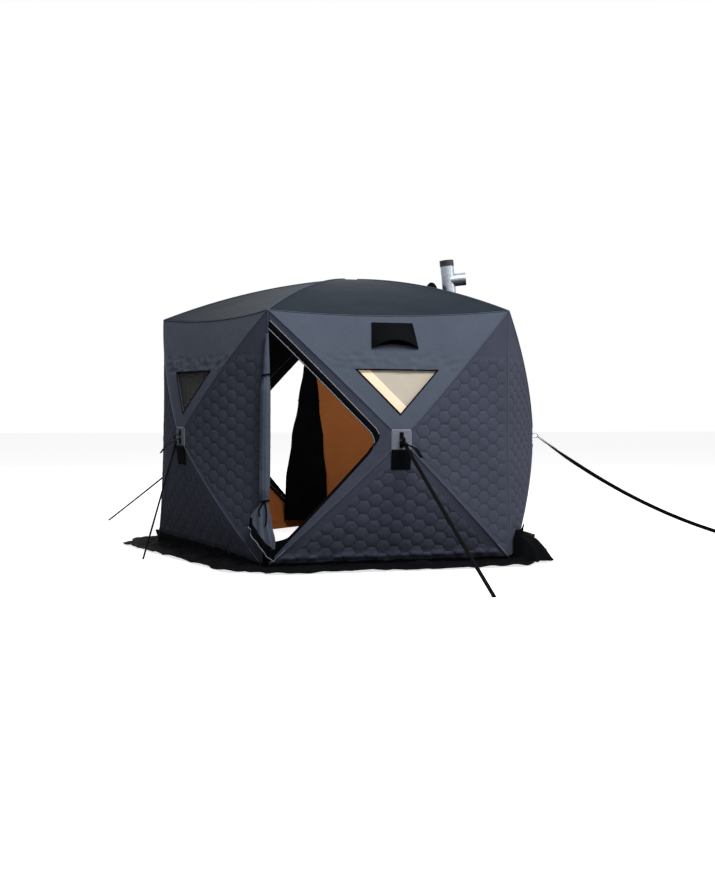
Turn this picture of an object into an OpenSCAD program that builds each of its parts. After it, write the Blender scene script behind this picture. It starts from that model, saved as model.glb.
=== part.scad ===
// Five-sided pop-up ice fishing shelter: hub-and-pole frame, tensioned wall and roof
// panels, roll-aside doors, snow skirt, guy straps and a flue pipe through the roof.
// Origin at the centre of the footprint on the ice, +Z up, the front wall faces -Y.

/* [Shelter] */
// Length of one wall between two eave corners
side_length = 1800; // [1600:10:2000]
// Height of the eave corners above the ice
eave_height = 1850; // [1700:10:2000]
// Rise of the roof hub above the eave corners
roof_rise = 325; // [280:5:420]
// Outward flare of the base corners
base_splay = 40; // [20:5:60]
// Sag of the eave corner beside the open front door
corner_sag = 35; // [0:5:50]
// Dip of each eave at mid wall
eave_sag = 40; // [20:5:60]
// Inward draw of each eave at mid wall
eave_draw = 20; // [0:5:40]
// Inward draw of the corner seams at mid height
corner_draw = 20; // [0:2:30]
// Thickness of the quilted panels
quilt_t = 8; // [6:0.5:10]
// Thickness of the plain roof and top panels
plain_t = 5; // [4:0.5:6]

/* [Frame] */
// Height of the wall hubs above the ice
hub_height = 910; // [850:5:980]
// Reach of the wall hubs beyond the line of the eave corners
hub_reach = 255; // [200:5:300]
// Side of the square patch sewn over each hub
patch_size = 140; // [120:5:160]
// Radius of the five-sided patch over the roof hub
cap_radius = 90; // [80:5:110]
// Diameter of the poles
pole_d = 11; // [9:0.5:12]
// Bow of the wall poles
pole_bow = 32; // [20:2:40]
// Bow of the roof poles
roof_pole_bow = 55; // [40:5:70]
// Diameter of the hub discs
hub_d = 84; // [76:2:96]
// Thickness of the hub discs
hub_t = 24; // [22:1:28]
// Width of the eight-sided block that joins the poles in a corner
cup_d = 46; // [42:1:50]
// Height of the corner blocks
cup_h = 38; // [34:1:44]

/* [Doorways] */
// Where the doorway's upper zip meets the corner seam, as a share of the way from hub to eave
door_top_share = 0.82; // [0.76:0.01:0.84]
// Height at which the doorway's lower zip meets the corner seam
door_base = 50; // [40:5:100]
// Distance of the doorway's rounded end from the middle of the wall
door_end = 195; // [170:5:230]
// Radius of the doorway's rounded end
door_round = 120; // [90:5:150]
// Largest radius of the rolled door
roll_radius = 40; // [34:1:50]

/* [Windows] */
// Width of a window along its upper edge
window_width = 585; // [500:5:640]
// Upper edge of a window, as a share of the way from hub to eave
window_top_share = 0.52; // [0.46:0.01:0.56]
// Lower point of a window, as a share of the way from hub to eave
window_foot_share = 0.195; // [0.18:0.005:0.24]
// Width of a window's blunt lower point
window_tip = 12; // [8:1:20]
// Thickness of the clear window film
film_t = 2; // [1.5:0.5:3]

/* [Vent] */
// Width of the vent hood along its lip
vent_width = 340; // [300:10:380]
// Amount by which the sewn upper edge is narrower than the lip
vent_flare = 40; // [20:5:60]
// Sewn upper edge of the vent hood, as a share of the way from hub to eave
vent_top_share = 0.88; // [0.86:0.01:0.9]
// Lip of the vent hood, as a share of the way from hub to eave
vent_foot_share = 0.69; // [0.64:0.01:0.72]
// Height of the arch in the middle of the lip
vent_arch = 42; // [20:2:60]
// Distance that the lip of the hood stands out
vent_reach = 60; // [40:5:80]

/* [Skirt and straps] */
// Width of the snow skirt
skirt_width = 260; // [180:10:320]
// Thickness of the snow skirt
skirt_t = 4; // [3:0.5:5]
// Width of the webbing straps
strap_w = 30; // [25:1:34]
// Thickness of the webbing straps
strap_t = 3; // [2.5:0.5:4]
// Reach of the front, right, rear right, rear left and left straps from their hubs
strap_reach = [1300, 2150, 1600, 1600, 310]; // [250:10:2400]
// Turn of the same straps away from square to their walls
strap_turn = [9, 0, 0, 0, 0]; // [-12:1:12]
// Dip of the slack strap on the right wall below a straight line
slack_dip = 165; // [60:5:170]

/* [Chimney] */
// Outer diameter of the flue pipe
flue_d = 104; // [90:2:120]
// Thickness of the flue pipe
flue_t = 1.5; // [1:0.5:2]
// Distance of the flue from the centre of the roof
flue_offset = 830; // [780:2:850]
// Lean of the flue towards the centre of the roof
flue_lean = 5.8; // [3:0.2:8]
// Rise of the top of the flue above the middle of the roof
flue_rise = 324; // [290:2:360]
// Rise of the side branch above the middle of the roof
branch_rise = 161; // [150:1:180]
// Length of the side branch from the axis of the flue
branch_reach = 142; // [120:2:160]
// Length of flue below the roof
flue_drop = 250; // [200:10:300]
// Margin of the hole in the roof round the flue
flue_margin = 40; // [30:2:50]

/* [Hidden] */
walls = 5;
front = 0;
right = 1;
rear_right = 2;
rear_left = 3;
left = 4;
seat = 0.3;
grid_u = 8;
grid_v = 6;
hole_rows = 3;
eave_r = side_length / (2 * sin(180 / walls));
apothem = side_length / (2 * tan(180 / walls));
base_r = eave_r + base_splay;
peak = eave_height + roof_rise;
roof_middle = eave_height + roof_rise / 2;
wall_rise = eave_height - hub_height;
door_top = hub_height + door_top_share * wall_rise;
window_top = hub_height + window_top_share * wall_rise;
window_foot = hub_height + window_foot_share * wall_rise;
vent_top = hub_height + vent_top_share * wall_rise;
vent_foot = hub_height + vent_foot_share * wall_rise;
flue_top = roof_middle + flue_rise;
branch_height = roof_middle + branch_rise;
bore_d = pole_d + 2 * seat;
socket_d = pole_d + 8;
socket_l = 60;
socket_gap = 15;
pole_gap = 20;
loop_r = 28;
cup_in = 66;
cup_drop = 58;
cup_lift = cup_h / 2 + skirt_t + 8;
// Below this height the sheets thicken sideways, above it more and more upwards
fold_height = hub_height + wall_rise / 5;
fold_rate = apothem / (eave_height - fold_height);

// Plain vector help
function unit(v) = v / norm(v);
function mix(a, b, t) = a + (b - a) * t;
function bow(t) = 4 * t * (1 - t);
function heading(a) = [cos(a), sin(a), 0];

// Wall k faces wall_a(k), corner k is the one on its left as seen from outside
function wall_a(k) = -90 + k * 360 / walls;
function corner_a(k) = wall_a(k) - 180 / walls;
function facing(k) = heading(wall_a(k));
function along(k) = heading(wall_a(k) + 90);
function eave_z(k) = eave_height - (k % walls == front ? corner_sag : 0);
function top_corner(k) = eave_r * heading(corner_a(k)) + [0, 0, eave_z(k)];
function base_corner(k) = base_r * heading(corner_a(k)) + [0, 0, skirt_t];
function cap_corner(k) = cap_radius * heading(corner_a(k)) + [0, 0, peak];

// Corner of the hub patch on wall k, side -1 left or 1 right, level -1 low or 1 high
function patch_corner(k, side, level) =
    facing(k) * (apothem + hub_reach)
    + along(k) * side * patch_size / 2
    + [0, 0, hub_height + level * patch_size / 2];

// A panel is four corners, outer edge first, and the bows of its outer edge and two sides
function eave_bow(k) = -eave_draw * facing(k) - [0, 0, eave_sag];
function seam_bow(k) = -corner_draw * heading(corner_a(k));
function panel(p00, p10, p01, p11, edge, side) = [p00, p10, p01, p11, edge, side];
function top_panel(k) = panel(
    top_corner(k + 1), top_corner(k), patch_corner(k, 1, 1), patch_corner(k, -1, 1),
    eave_bow(k), pole_bow * facing(k));
function left_panel(k) = panel(
    top_corner(k), base_corner(k), patch_corner(k, -1, 1), patch_corner(k, -1, -1),
    seam_bow(k), pole_bow * facing(k));
function bottom_panel(k) = panel(
    base_corner(k), base_corner(k + 1), patch_corner(k, -1, -1), patch_corner(k, 1, -1),
    [0, 0, 0], pole_bow * facing(k));
function right_panel(k) = panel(
    base_corner(k + 1), top_corner(k + 1), patch_corner(k, 1, -1), patch_corner(k, 1, 1),
    seam_bow(k + 1), pole_bow * facing(k));
function roof_panel(k) = panel(
    top_corner(k), top_corner(k + 1), cap_corner(k), cap_corner(k + 1),
    eave_bow(k), [0, 0, roof_pole_bow]);

// Point of a stretched panel, u along its outer edge and v from that edge to the hub
function cloth(p, u, v) =
    mix(mix(p[0], p[1], u), mix(p[2], p[3], u), v)
    + (1 - v) * bow(u) * p[4]
    + bow(v) * p[5];

// Direction in which a sheet thickens at a point, shared by all panels that meet there
function outward(p) = unit([p.x, p.y, fold_rate * max(0, p.z - fold_height)]);

// Point of a top panel at a distance s to the right of its middle and about height z
function top_v(z) = (eave_height - eave_sag - z)
    / (eave_height - eave_sag - hub_height - patch_size / 2);
function top_u(s, v) = 0.5 - s / mix(side_length, patch_size, v);
function top_point(k, s, z) = cloth(top_panel(k), top_u(s, top_v(z)), top_v(z));

// Closed sheet over a grid of points, rows by columns, with the outer side given first.
// A looped grid joins its last column to its first.
module sheet(outer, inner, looped = false) {
    rows = len(outer);
    cols = len(outer[0]);
    count = rows * cols;
    last = looped ? cols - 1 : cols - 2;
    end = count - cols;
    points = concat([for (row = outer) each row], [for (row = inner) each row]);
    skins = [for (r = [0 : rows - 2], c = [0 : last])
        let (a = r * cols + c, b = r * cols + (c + 1) % cols, d = a + cols, e = b + cols)
        each [[a, d, b], [b, d, e], [a + count, b + count, d + count], [b + count, e + count, d + count]]];
    ends = [for (c = [0 : last]) each [[c, (c + 1) % cols], [end + (c + 1) % cols, end + c]]];
    sides = [for (r = [0 : rows - 2])
        each [[r * cols + cols - 1, (r + 1) * cols + cols - 1], [(r + 1) * cols, r * cols]]];
    rim = looped ? ends : concat(ends, sides);
    edges = [for (e = rim) each [[e[0], e[1], e[0] + count], [e[1], e[1] + count, e[0] + count]]];
    polyhedron(points, concat(skins, edges));
}

// Sheet of thickness t centred on rows of points
module thick_sheet(middle, t, looped = false) {
    sheet(
        [for (row = middle) [for (q = row) q + outward(q) * t / 2]],
        [for (row = middle) [for (q = row) q - outward(q) * t / 2]],
        looped);
}
module panel_sheet(p, t) {
    thick_sheet([for (j = [0 : grid_v]) [for (i = [0 : grid_u]) cloth(p, i / grid_u, j / grid_v)]], t);
}

// Panel with a hole: rows of points run from the rim of the panel to the loop of the hole.
// A loop goes round four corners with as many steps as the panel's grid has along its edges.
function loop(q) = [for (side = [0 : 3])
    let (steps = side % 2 == 0 ? grid_u : grid_v)
    for (i = [0 : steps - 1]) mix(q[side], q[(side + 1) % 4], i / steps)];
rim_loop = loop([[0, 0], [1, 0], [1, 1], [0, 1]]);
module holed_panel(p, t, hole) {
    thick_sheet(
        [for (r = [0 : hole_rows]) [for (c = [0 : len(hole) - 1])
            let (q = mix(rim_loop[c], hole[c], r / hole_rows))
            cloth(p, q.x, q.y)]],
        t, true);
}

// Solid through rings of points that run counter-clockwise seen from the far end
module loft(rings) {
    n = len(rings[0]);
    last = len(rings) - 1;
    points = [for (ring = rings) each ring];
    sides = [for (r = [0 : last - 1], i = [0 : n - 1])
        let (a = r * n + i, b = r * n + (i + 1) % n, d = a + n, e = b + n)
        each [[a, d, b], [b, d, e]]];
    polyhedron(points, concat(
        [[for (i = [0 : n - 1]) i]],
        sides,
        [[for (i = [n - 1 : -1 : 0]) last * n + i]]));
}

// Place children with their +Z along direction v from point p
module toward(p, v) {
    d = unit(v);
    translate(p)
        rotate([0, acos(d.z), atan2(d.y, d.x)])
            children();
}

// Arc between two points, bowed towards a direction, as [centre, x, y, radius, half angle]
function arc(a, b, lean, sag) =
    let (
        chord = b - a,
        y = unit(chord),
        x = unit(lean - (lean * y) * y),
        r = (norm(chord) * norm(chord) / 4 + sag * sag) / (2 * sag))
    [(a + b) / 2 - x * (r - sag), x, y, r, asin(norm(chord) / 2 / r)];
function arc_dir(c, ang) = c[2] * cos(ang) - c[1] * sin(ang);

// Round rod along an arc, cut short by trim at both ends
module arc_rod(c, d, trim) {
    z = cross(c[1], c[2]);
    cut = trim / c[3] * 180 / PI;
    multmatrix([
        [c[1].x, c[2].x, z.x, c[0].x],
        [c[1].y, c[2].y, z.y, c[0].y],
        [c[1].z, c[2].z, z.z, c[0].z],
        [0, 0, 0, 1]])
        rotate([0, 0, cut - c[4]])
            rotate_extrude(angle = 2 * (c[4] - cut), $fn = 720)
                translate([c[3], 0])
                    circle(d = d, $fn = 24);
}

// Sockets that hold pole ends, all aimed from one point
module sockets(p, directions) {
    for (v = directions)
        toward(p + unit(v) * socket_gap, v) cylinder(d = socket_d, h = socket_l - socket_gap, $fn = 32);
}
module socket_bores(p, directions) {
    for (v = directions)
        toward(p + unit(v) * pole_gap, v) cylinder(d = bore_d, h = socket_l, $fn = 32);
}

// Centres of the hubs and corner joints and the arcs of the poles between them
function hub_centre(k) =
    facing(k) * (apothem + hub_reach - quilt_t / 2 - hub_t / 2 - seat / 2) + [0, 0, hub_height];
roof_hub_centre = [0, 0, peak - plain_t / 2 - hub_t / 2 - seat / 2];
function top_joint(k) = top_corner(k) - cup_in * heading(corner_a(k)) - [0, 0, cup_drop];
function base_joint(k) = (base_r - cup_in) * heading(corner_a(k)) + [0, 0, cup_lift];
function wall_joint(k, side, level) =
    let (c = side < 0 ? k : k + 1)
    level < 0 ? base_joint(c) : top_joint(c);
function wall_arc(k, side, level) =
    arc(hub_centre(k), wall_joint(k, side, level), facing(k), pole_bow);
function roof_arc(k) = arc(roof_hub_centre, top_joint(k), [0, 0, 1], roof_pole_bow);
function start_dir(c) = arc_dir(c, -c[4]);
function end_dir(c) = -arc_dir(c, c[4]);

// Frame of a wall: x along it to the right, y up and z outwards, at the centre of the ice
module on_wall(k) {
    rotate([0, 0, wall_a(k) + 90])
        rotate([90, 0, 0])
            children();
}

// Doorway outline on a wall, from the corner seam to a rounded end near the hub
door_drop = 22;
door_steps = 10;
door_slit = 2;
door_middle = [-door_end - door_round, hub_height - door_drop];
// Angle at which a straight edge from point p meets the rounded end, side 1 above or -1 below
function door_edge_a(p, side) =
    let (v = p - door_middle)
    atan2(v.y, v.x) - side * acos(door_round / norm(v));
module doorway_shape() {
    reach = side_length / 2;
    beyond = 150;
    lap = 20;
    upper = [-reach, door_top];
    lower = [-reach, door_base];
    arc_points = [for (i = [0 : door_steps])
        let (a = mix(door_edge_a(lower, -1), door_edge_a(upper, 1), i / door_steps))
        door_middle + door_round * [cos(a), sin(a)]];
    polygon(concat(
        [upper + [-beyond, beyond], lower - [beyond, beyond], lower],
        arc_points,
        [upper]));
    // A slit runs on to the hub patch, so the upper and lower halves of the surround part there
    translate([-door_end - lap, door_middle.y - door_slit / 2])
        square([door_end - patch_size / 2 + 2 * lap, door_slit]);
}
module doorway(k) {
    on_wall(k)
        translate([0, 0, apothem / 2])
            linear_extrude(apothem)
                doorway_shape();
}

// Corners of a window on its top panel, all four pulled in by a little gap
function window_corner(half, z) = [top_u(half, top_v(z)), top_v(z)];
function window_corners(gap) =
    let (high = window_width / 2 - 2.5 * gap, low = window_tip / 2 - gap / 2)
    [window_corner(high, window_top - gap), window_corner(-high, window_top - gap),
    window_corner(-low, window_foot + gap), window_corner(low, window_foot + gap)];

// Wall and roof panels
module wall_top(k) {
    color("slategray")
        holed_panel(top_panel(k), plain_t, loop(window_corners(0)));
}
module wall_left(k) { color("darkslategray") panel_sheet(left_panel(k), quilt_t); }
module wall_right(k) { color("darkslategray") panel_sheet(right_panel(k), quilt_t); }
module wall_bottom(k) { color("darkslategray") panel_sheet(bottom_panel(k), quilt_t); }
module roof(k) { color("dimgray") panel_sheet(roof_panel(k), plain_t); }
module door_surround(k) {
    color("darkslategray")
        difference() {
            panel_sheet(left_panel(k), quilt_t);
            doorway(k);
        }
}

// Flue: place children on its axis, z up the pipe, with z = 0 at the height of the ice
module on_flue() {
    rotate([0, 0, wall_a(right)])
        translate([flue_offset, 0, roof_middle])
            rotate([0, -flue_lean, 0])
                translate([0, 0, -roof_middle])
                    children();
}
// The roof panel round the flue: plan coordinates are across the panel and out from the centre
eave_far = apothem - eave_draw;
cap_far = cap_radius * cos(180 / walls);
function roof_width(v) = mix(side_length, 2 * cap_radius * sin(180 / walls), v);
function roof_plan(q) = [(q.x - 0.5) * roof_width(q.y), mix(eave_far, cap_far, q.y)];
function roof_uv(a) =
    let (v = (eave_far - a.y) / (eave_far - cap_far))
    [0.5 + a.x / roof_width(v), v];
module right_roof() {
    middle = [0, flue_offset];
    hole = [for (q = rim_loop) roof_uv(middle + unit(roof_plan(q) - middle) * (flue_d / 2 + flue_margin))];
    color("dimgray") holed_panel(roof_panel(right), plain_t, hole);
}

// Reinforcing patches
module hub_patches() {
    color("lightgray")
        for (k = [0 : walls - 1]) {
            corners = [for (level = [-1, 1]) [for (side = [-1, 1]) patch_corner(k, side, level)]];
            thick_sheet(corners, quilt_t);
        }
}
module roof_cap() {
    function ring(s) = [for (k = [0 : walls - 1])
        cap_corner(k) + s * outward(cap_corner(k)) * plain_t / 2];
    color("black") loft([ring(-1), ring(1)]);
}

// Hub-and-pole frame
module wall_hubs() {
    color("dimgray")
        for (k = [0 : walls - 1]) {
            c = hub_centre(k);
            dirs = [for (side = [-1, 1], level = [-1, 1]) start_dir(wall_arc(k, side, level))];
            difference() {
                union() {
                    toward(c - facing(k) * hub_t / 2, facing(k)) cylinder(d = hub_d, h = hub_t, $fn = 64);
                    sockets(c, dirs);
                }
                socket_bores(c, dirs);
            }
        }
}
module roof_hub() {
    dirs = [for (k = [0 : walls - 1]) start_dir(roof_arc(k))];
    color("dimgray")
        difference() {
            union() {
                translate(roof_hub_centre - [0, 0, hub_t / 2]) cylinder(d = hub_d, h = hub_t, $fn = 64);
                sockets(roof_hub_centre, dirs);
            }
            socket_bores(roof_hub_centre, dirs);
        }
}
module wall_poles() {
    color("gainsboro")
        for (k = [0 : walls - 1], side = [-1, 1], level = [-1, 1])
            arc_rod(wall_arc(k, side, level), pole_d, pole_gap + seat);
}
module roof_poles() {
    color("gainsboro")
        for (k = [0 : walls - 1])
            arc_rod(roof_arc(k), pole_d, pole_gap + seat);
}
module corner_joint(p, dirs) {
    difference() {
        union() {
            translate(p - [0, 0, cup_h / 2]) cylinder(d = cup_d, h = cup_h, $fn = 8);
            sockets(p, dirs);
        }
        socket_bores(p, dirs);
    }
}
module top_corner_joints() {
    color("dimgray")
        for (k = [0 : walls - 1])
            corner_joint(top_joint(k), [
                end_dir(wall_arc(k, -1, 1)),
                end_dir(wall_arc(k - 1, 1, 1)),
                end_dir(roof_arc(k))]);
}
module base_corner_joints() {
    color("dimgray")
        for (k = [0 : walls - 1])
            corner_joint(base_joint(k), [
                end_dir(wall_arc(k, -1, -1)),
                end_dir(wall_arc(k - 1, 1, -1))]);
}

// Windows and vent
module windows() {
    q = window_corners(seat);
    color("lightyellow", 0.6)
        for (k = [0 : walls - 1])
            thick_sheet(
                [for (j = [0 : grid_v]) [for (i = [0 : grid_u])
                    let (
                        a = mix(q[0], q[3], j / grid_v),
                        b = mix(q[1], q[2], j / grid_v),
                        spot = mix(a, b, i / grid_u))
                    cloth(top_panel(k), spot.x, spot.y)]],
                film_t);
}
module vent_hood() {
    cols = 8;
    rows = 3;
    function hood(r, c) =
        let (
            s = mix(vent_width - vent_flare, vent_width, r / rows) * (c / cols - 0.5),
            z = mix(vent_top, vent_foot + vent_arch * bow(c / cols), r / rows),
            q = top_point(front, -s, z))
        q + outward(q) * (plain_t / 2 + seat) + facing(front) * vent_reach * bow(c / cols) * r / rows;
    base = [for (r = [0 : rows]) [for (c = [0 : cols]) hood(r, c)]];
    color("black")
        sheet([for (row = base) [for (q = row) q + outward(q) * film_t]], base);
}

// Doors gathered along their corner seams
function seam(k, z) =
    let (t = (z - skirt_t) / (eave_z(k) - skirt_t))
    mix(base_corner(k), top_corner(k), t) + bow(t) * seam_bow(k);
// side is 1 outside the seam or -1 inside it, and gap the distance from the seam at each height
module gathered_door(k, side, heights, depths, widths, gaps) {
    sides = 16;
    r = heading(corner_a(k));
    e = cross([0, 0, 1], r);
    loft([for (i = [0 : len(heights) - 1])
        let (middle = seam(k, heights[i]) + side * r * (depths[i] + gaps[i] + quilt_t / 2))
        [for (j = [0 : sides - 1])
            let (a = 360 * j / sides)
            middle + r * depths[i] * cos(a) + e * widths[i] * sin(a)]]);
}
// The rolled door is thin above its upper tie, thick to the knot and spreads out as a fan below
module front_door_roll() {
    shares = [0.06, 0.12, 0.2, 0.285, 0.34, 0.5, 0.74, 0.81, 0.84, 0.98];
    heights = [for (t = shares) t * door_top];
    thin = roll_radius * 0.66;
    knot = roll_radius * 0.7;
    color("gray")
        gathered_door(front, 1,
            heights,
            [44, 48, 44, knot, roll_radius, roll_radius, roll_radius, knot, thin, 14],
            [92, 104, 78, knot, roll_radius, roll_radius, roll_radius, knot, thin, 14],
            [for (z = heights) -seat]);
}
// The rear door hangs free inside its seam, held by a tie
module rear_door_roll() {
    tie = 3;
    tie_gap = 40;
    heights = [for (t = [0.12, 0.25, 0.48, 0.71, 0.89, 0.96]) t * door_top];
    r = heading(corner_a(rear_left));
    color("gray") {
        gathered_door(rear_left, -1,
            heights,
            [60, 60, 56, 50, 40, 24],
            [150, 150, 110, 80, 56, 26],
            [95, 95, 62, tie_gap, 30, 24]);
        toward(seam(rear_left, heights[tie]) - r * (quilt_t / 2 - seat), -r)
            translate([-strap_w / 2, -strap_t / 2, 0])
                cube([strap_w, strap_t, tie_gap]);
    }
}

// Snow skirt in five mitred flaps
module snow_skirt() {
    lap = 14;
    inner = base_r * cos(180 / walls) - lap;
    outer = inner + lap + skirt_width;
    mitre = 0.5;
    function half(n) = n * tan(180 / walls) - mitre;
    color("black")
        for (k = [0 : walls - 1])
            rotate([0, 0, wall_a(k)])
                linear_extrude(skirt_t)
                    polygon([[inner, -half(inner)], [outer, -half(outer)], [outer, half(outer)], [inner, half(inner)]]);
}

// Pull loops on the hub patches, rings in the loops and guy straps from the rings
function strap_way(k) = heading(wall_a(k) + strap_turn[k]);
function strap_side(k) = heading(wall_a(k) + strap_turn[k] + 90);
function hub_face(k) = facing(k) * (apothem + hub_reach + quilt_t / 2 + seat) + [0, 0, hub_height];
function loop_middle(k) = hub_face(k) + facing(k) * (loop_r + strap_w / 2 * abs(sin(strap_turn[k])));
function strap_foot(k) =
    facing(k) * (apothem + hub_reach) + strap_way(k) * strap_reach[k] + [0, 0, strap_t];
function strap_dir(k) =
    let (d = strap_foot(k) - loop_middle(k))
    unit(strap_way(k) * (d * strap_way(k)) + [0, 0, d.z]);
ring_w = strap_w + 4;
ring_h = 9;
ring_t = 4;
module pull_loops() {
    color("black")
        for (k = [0 : walls - 1])
            toward(loop_middle(k) - strap_side(k) * strap_w / 2, strap_side(k))
                difference() {
                    cylinder(r = loop_r, h = strap_w, $fn = 48);
                    translate([0, 0, -1]) cylinder(r = loop_r - strap_t, h = strap_w + 2, $fn = 48);
                }
}
// Frame of a strap: x across it and level, z along it and y square to both
module on_strap(k, distance) {
    x = strap_side(k);
    d = strap_dir(k);
    y = cross(d, x);
    p = loop_middle(k) + d * distance;
    multmatrix([
        [x.x, y.x, d.x, p.x],
        [x.y, y.y, d.y, p.y],
        [x.z, y.z, d.z, p.z],
        [0, 0, 0, 1]])
        children();
}
ring_start = loop_r - strap_t - seat - ring_t;
ring_end = ring_start + 2 * ring_t + ring_h;
module strap_rings() {
    color("silver")
        for (k = [0 : walls - 1])
            on_strap(k, ring_start)
                difference() {
                    translate([-ring_w / 2 - ring_t, -ring_t / 2, 0])
                        cube([ring_w + 2 * ring_t, ring_t, 2 * ring_t + ring_h]);
                    translate([-ring_w / 2, -ring_t, ring_t])
                        cube([ring_w, 2 * ring_t, ring_h]);
                }
}
module guy_straps() {
    color("black")
        for (k = [front, rear_right, rear_left, left])
            on_strap(k, ring_end + seat)
                translate([-strap_w / 2, -strap_t / 2, 0])
                    cube([strap_w, strap_t, norm(strap_foot(k) - loop_middle(k)) - ring_end - seat]);
}
// The slack strap turns on edge after its ring and lies flat again at its foot
module slack_guy_strap() {
    steps = 24;
    k = right;
    x = strap_side(k);
    first = loop_middle(k) + strap_dir(k) * (ring_end + seat);
    last = strap_foot(k);
    function path(i) = mix(first, last, i / steps) - [0, 0, slack_dip * bow(i / steps)];
    function tangent(i) = unit(path(min(i + 1, steps)) - path(max(i - 1, 0)));
    function twist(i) = 90 * min(1, i / steps * 6, (1 - i / steps) * 5);
    color("black")
        loft([for (i = [0 : steps])
            let (
                p = path(i),
                y = unit(cross(tangent(i), x)),
                e = (x * cos(twist(i)) + y * sin(twist(i))) * strap_w / 2,
                n = (y * cos(twist(i)) - x * sin(twist(i))) * strap_t / 2)
            [p - e - n, p + e - n, p + e + n, p - e + n]]);
}

// Flue through the right roof panel
function roof_point(a) = let (q = roof_uv(a)) cloth(roof_panel(right), q.x, q.y);
// Place of the flue's axis in plan at a height
function flue_plan(z) = [0, flue_offset - tan(flue_lean) * (z - roof_middle)];
module stove_jack() {
    jack = 360;
    jack_gap = 1.9;
    rows = 2;
    middle = [0, flue_offset];
    reach = jack / 2;
    rim = loop([[-reach, reach], [reach, reach], [reach, -reach], [-reach, -reach]]);
    function hole(c) =
        let (way = unit(rim[c]) * (flue_d / 2 + jack_gap))
        flue_plan(roof_point(middle + way).z) + way;
    function spot(r, c) =
        let (q = roof_point(mix(middle + rim[c], hole(c), r / rows)))
        q + outward(q) * (plain_t / 2 + seat);
    base = [for (r = [0 : rows]) [for (c = [0 : len(rim) - 1]) spot(r, c)]];
    color("black")
        sheet([for (row = base) [for (q = row) q + outward(q) * film_t]], base, true);
}
tee_foot = branch_height - 95;
module flue_pipe() {
    foot = roof_middle - flue_drop;
    color("silver")
        on_flue()
            difference() {
                translate([0, 0, foot]) cylinder(d = flue_d, h = tee_foot + 40 - foot, $fn = 64);
                translate([0, 0, foot - 1]) cylinder(d = flue_d - 2 * flue_t, h = tee_foot + 42 - foot, $fn = 64);
            }
}
module flue_tee() {
    inner = flue_d + 2 * seat;
    outer = inner + 2 * flue_t;
    length = flue_top - 20 - tee_foot;
    color("silver")
        on_flue()
            difference() {
                union() {
                    translate([0, 0, tee_foot]) cylinder(d = outer, h = length, $fn = 64);
                    translate([0, 0, branch_height]) rotate([0, 90, 0]) cylinder(d = flue_d, h = branch_reach, $fn = 64);
                }
                translate([0, 0, tee_foot - 1]) cylinder(d = inner, h = length + 2, $fn = 64);
                translate([0, 0, branch_height])
                    rotate([0, 90, 0])
                        cylinder(d = flue_d - 2 * flue_t, h = branch_reach + 1, $fn = 64);
            }
}
module flue_collar() {
    inner = flue_d + 2 * (2 * seat + flue_t);
    color("black")
        on_flue()
            translate([0, 0, flue_top - 48])
                difference() {
                    cylinder(d = inner + 6, h = 48, $fn = 64);
                    translate([0, 0, -1]) cylinder(d = inner, h = 50, $fn = 64);
                }
}

wall_top(front);  // front_wall_top
door_surround(front);  // front_door_surround
wall_right(front);  // front_wall_right
wall_bottom(front);  // front_wall_bottom
wall_top(right);  // right_wall_top
wall_left(right);  // right_wall_left
wall_right(right);  // right_wall_right
wall_bottom(right);  // right_wall_bottom
wall_top(rear_right);  // rear_right_wall_top
wall_left(rear_right);  // rear_right_wall_left
wall_right(rear_right);  // rear_right_wall_right
wall_bottom(rear_right);  // rear_right_wall_bottom
wall_top(rear_left);  // rear_left_wall_top
door_surround(rear_left);  // rear_door_surround
wall_right(rear_left);  // rear_left_wall_right
wall_bottom(rear_left);  // rear_left_wall_bottom
wall_top(left);  // left_wall_top
wall_left(left);  // left_wall_left
wall_right(left);  // left_wall_right
wall_bottom(left);  // left_wall_bottom
roof(front);  // front_roof
right_roof();
roof(rear_right);  // rear_right_roof
roof(rear_left);  // rear_left_roof
roof(left);  // left_roof
hub_patches();
roof_cap();
wall_hubs();
roof_hub();
wall_poles();
roof_poles();
top_corner_joints();
base_corner_joints();
windows();
vent_hood();
front_door_roll();
rear_door_roll();
snow_skirt();
pull_loops();
strap_rings();
guy_straps();
slack_guy_strap();
stove_jack();
flue_pipe();
flue_tee();
flue_collar();
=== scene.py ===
"""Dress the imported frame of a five-sided pop-up ice shelter.

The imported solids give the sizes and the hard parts. Every piece of cloth is made here from
the same stretched panels: quilted walls, plain tops and roof, doors, skirt and webbing.
"""

import logging
import math
from collections.abc import Callable, Sequence
from dataclasses import dataclass
from enum import Enum, IntEnum
from typing import ClassVar

import bmesh
import bpy
from mathutils import Matrix, Vector, noise


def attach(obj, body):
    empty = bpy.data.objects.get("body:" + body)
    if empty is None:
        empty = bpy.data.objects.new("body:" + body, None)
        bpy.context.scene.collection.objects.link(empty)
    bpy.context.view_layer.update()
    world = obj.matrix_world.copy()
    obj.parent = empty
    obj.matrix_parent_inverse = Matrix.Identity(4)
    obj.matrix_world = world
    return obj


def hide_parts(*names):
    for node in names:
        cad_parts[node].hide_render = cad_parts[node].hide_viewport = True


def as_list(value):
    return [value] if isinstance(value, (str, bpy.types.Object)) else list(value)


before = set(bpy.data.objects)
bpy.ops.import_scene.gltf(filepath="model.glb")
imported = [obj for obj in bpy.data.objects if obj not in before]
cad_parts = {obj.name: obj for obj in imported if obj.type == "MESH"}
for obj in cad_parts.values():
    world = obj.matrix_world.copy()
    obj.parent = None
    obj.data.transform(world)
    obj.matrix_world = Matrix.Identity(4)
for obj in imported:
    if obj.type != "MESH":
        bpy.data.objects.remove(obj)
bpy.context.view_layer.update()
LOG = logging.getLogger("shelter")
UP = Vector((0.0, 0.0, 1.0))
BODY = "root"
Place = Callable[[float, float], Vector]
Plane = tuple[Vector, Vector]
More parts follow.
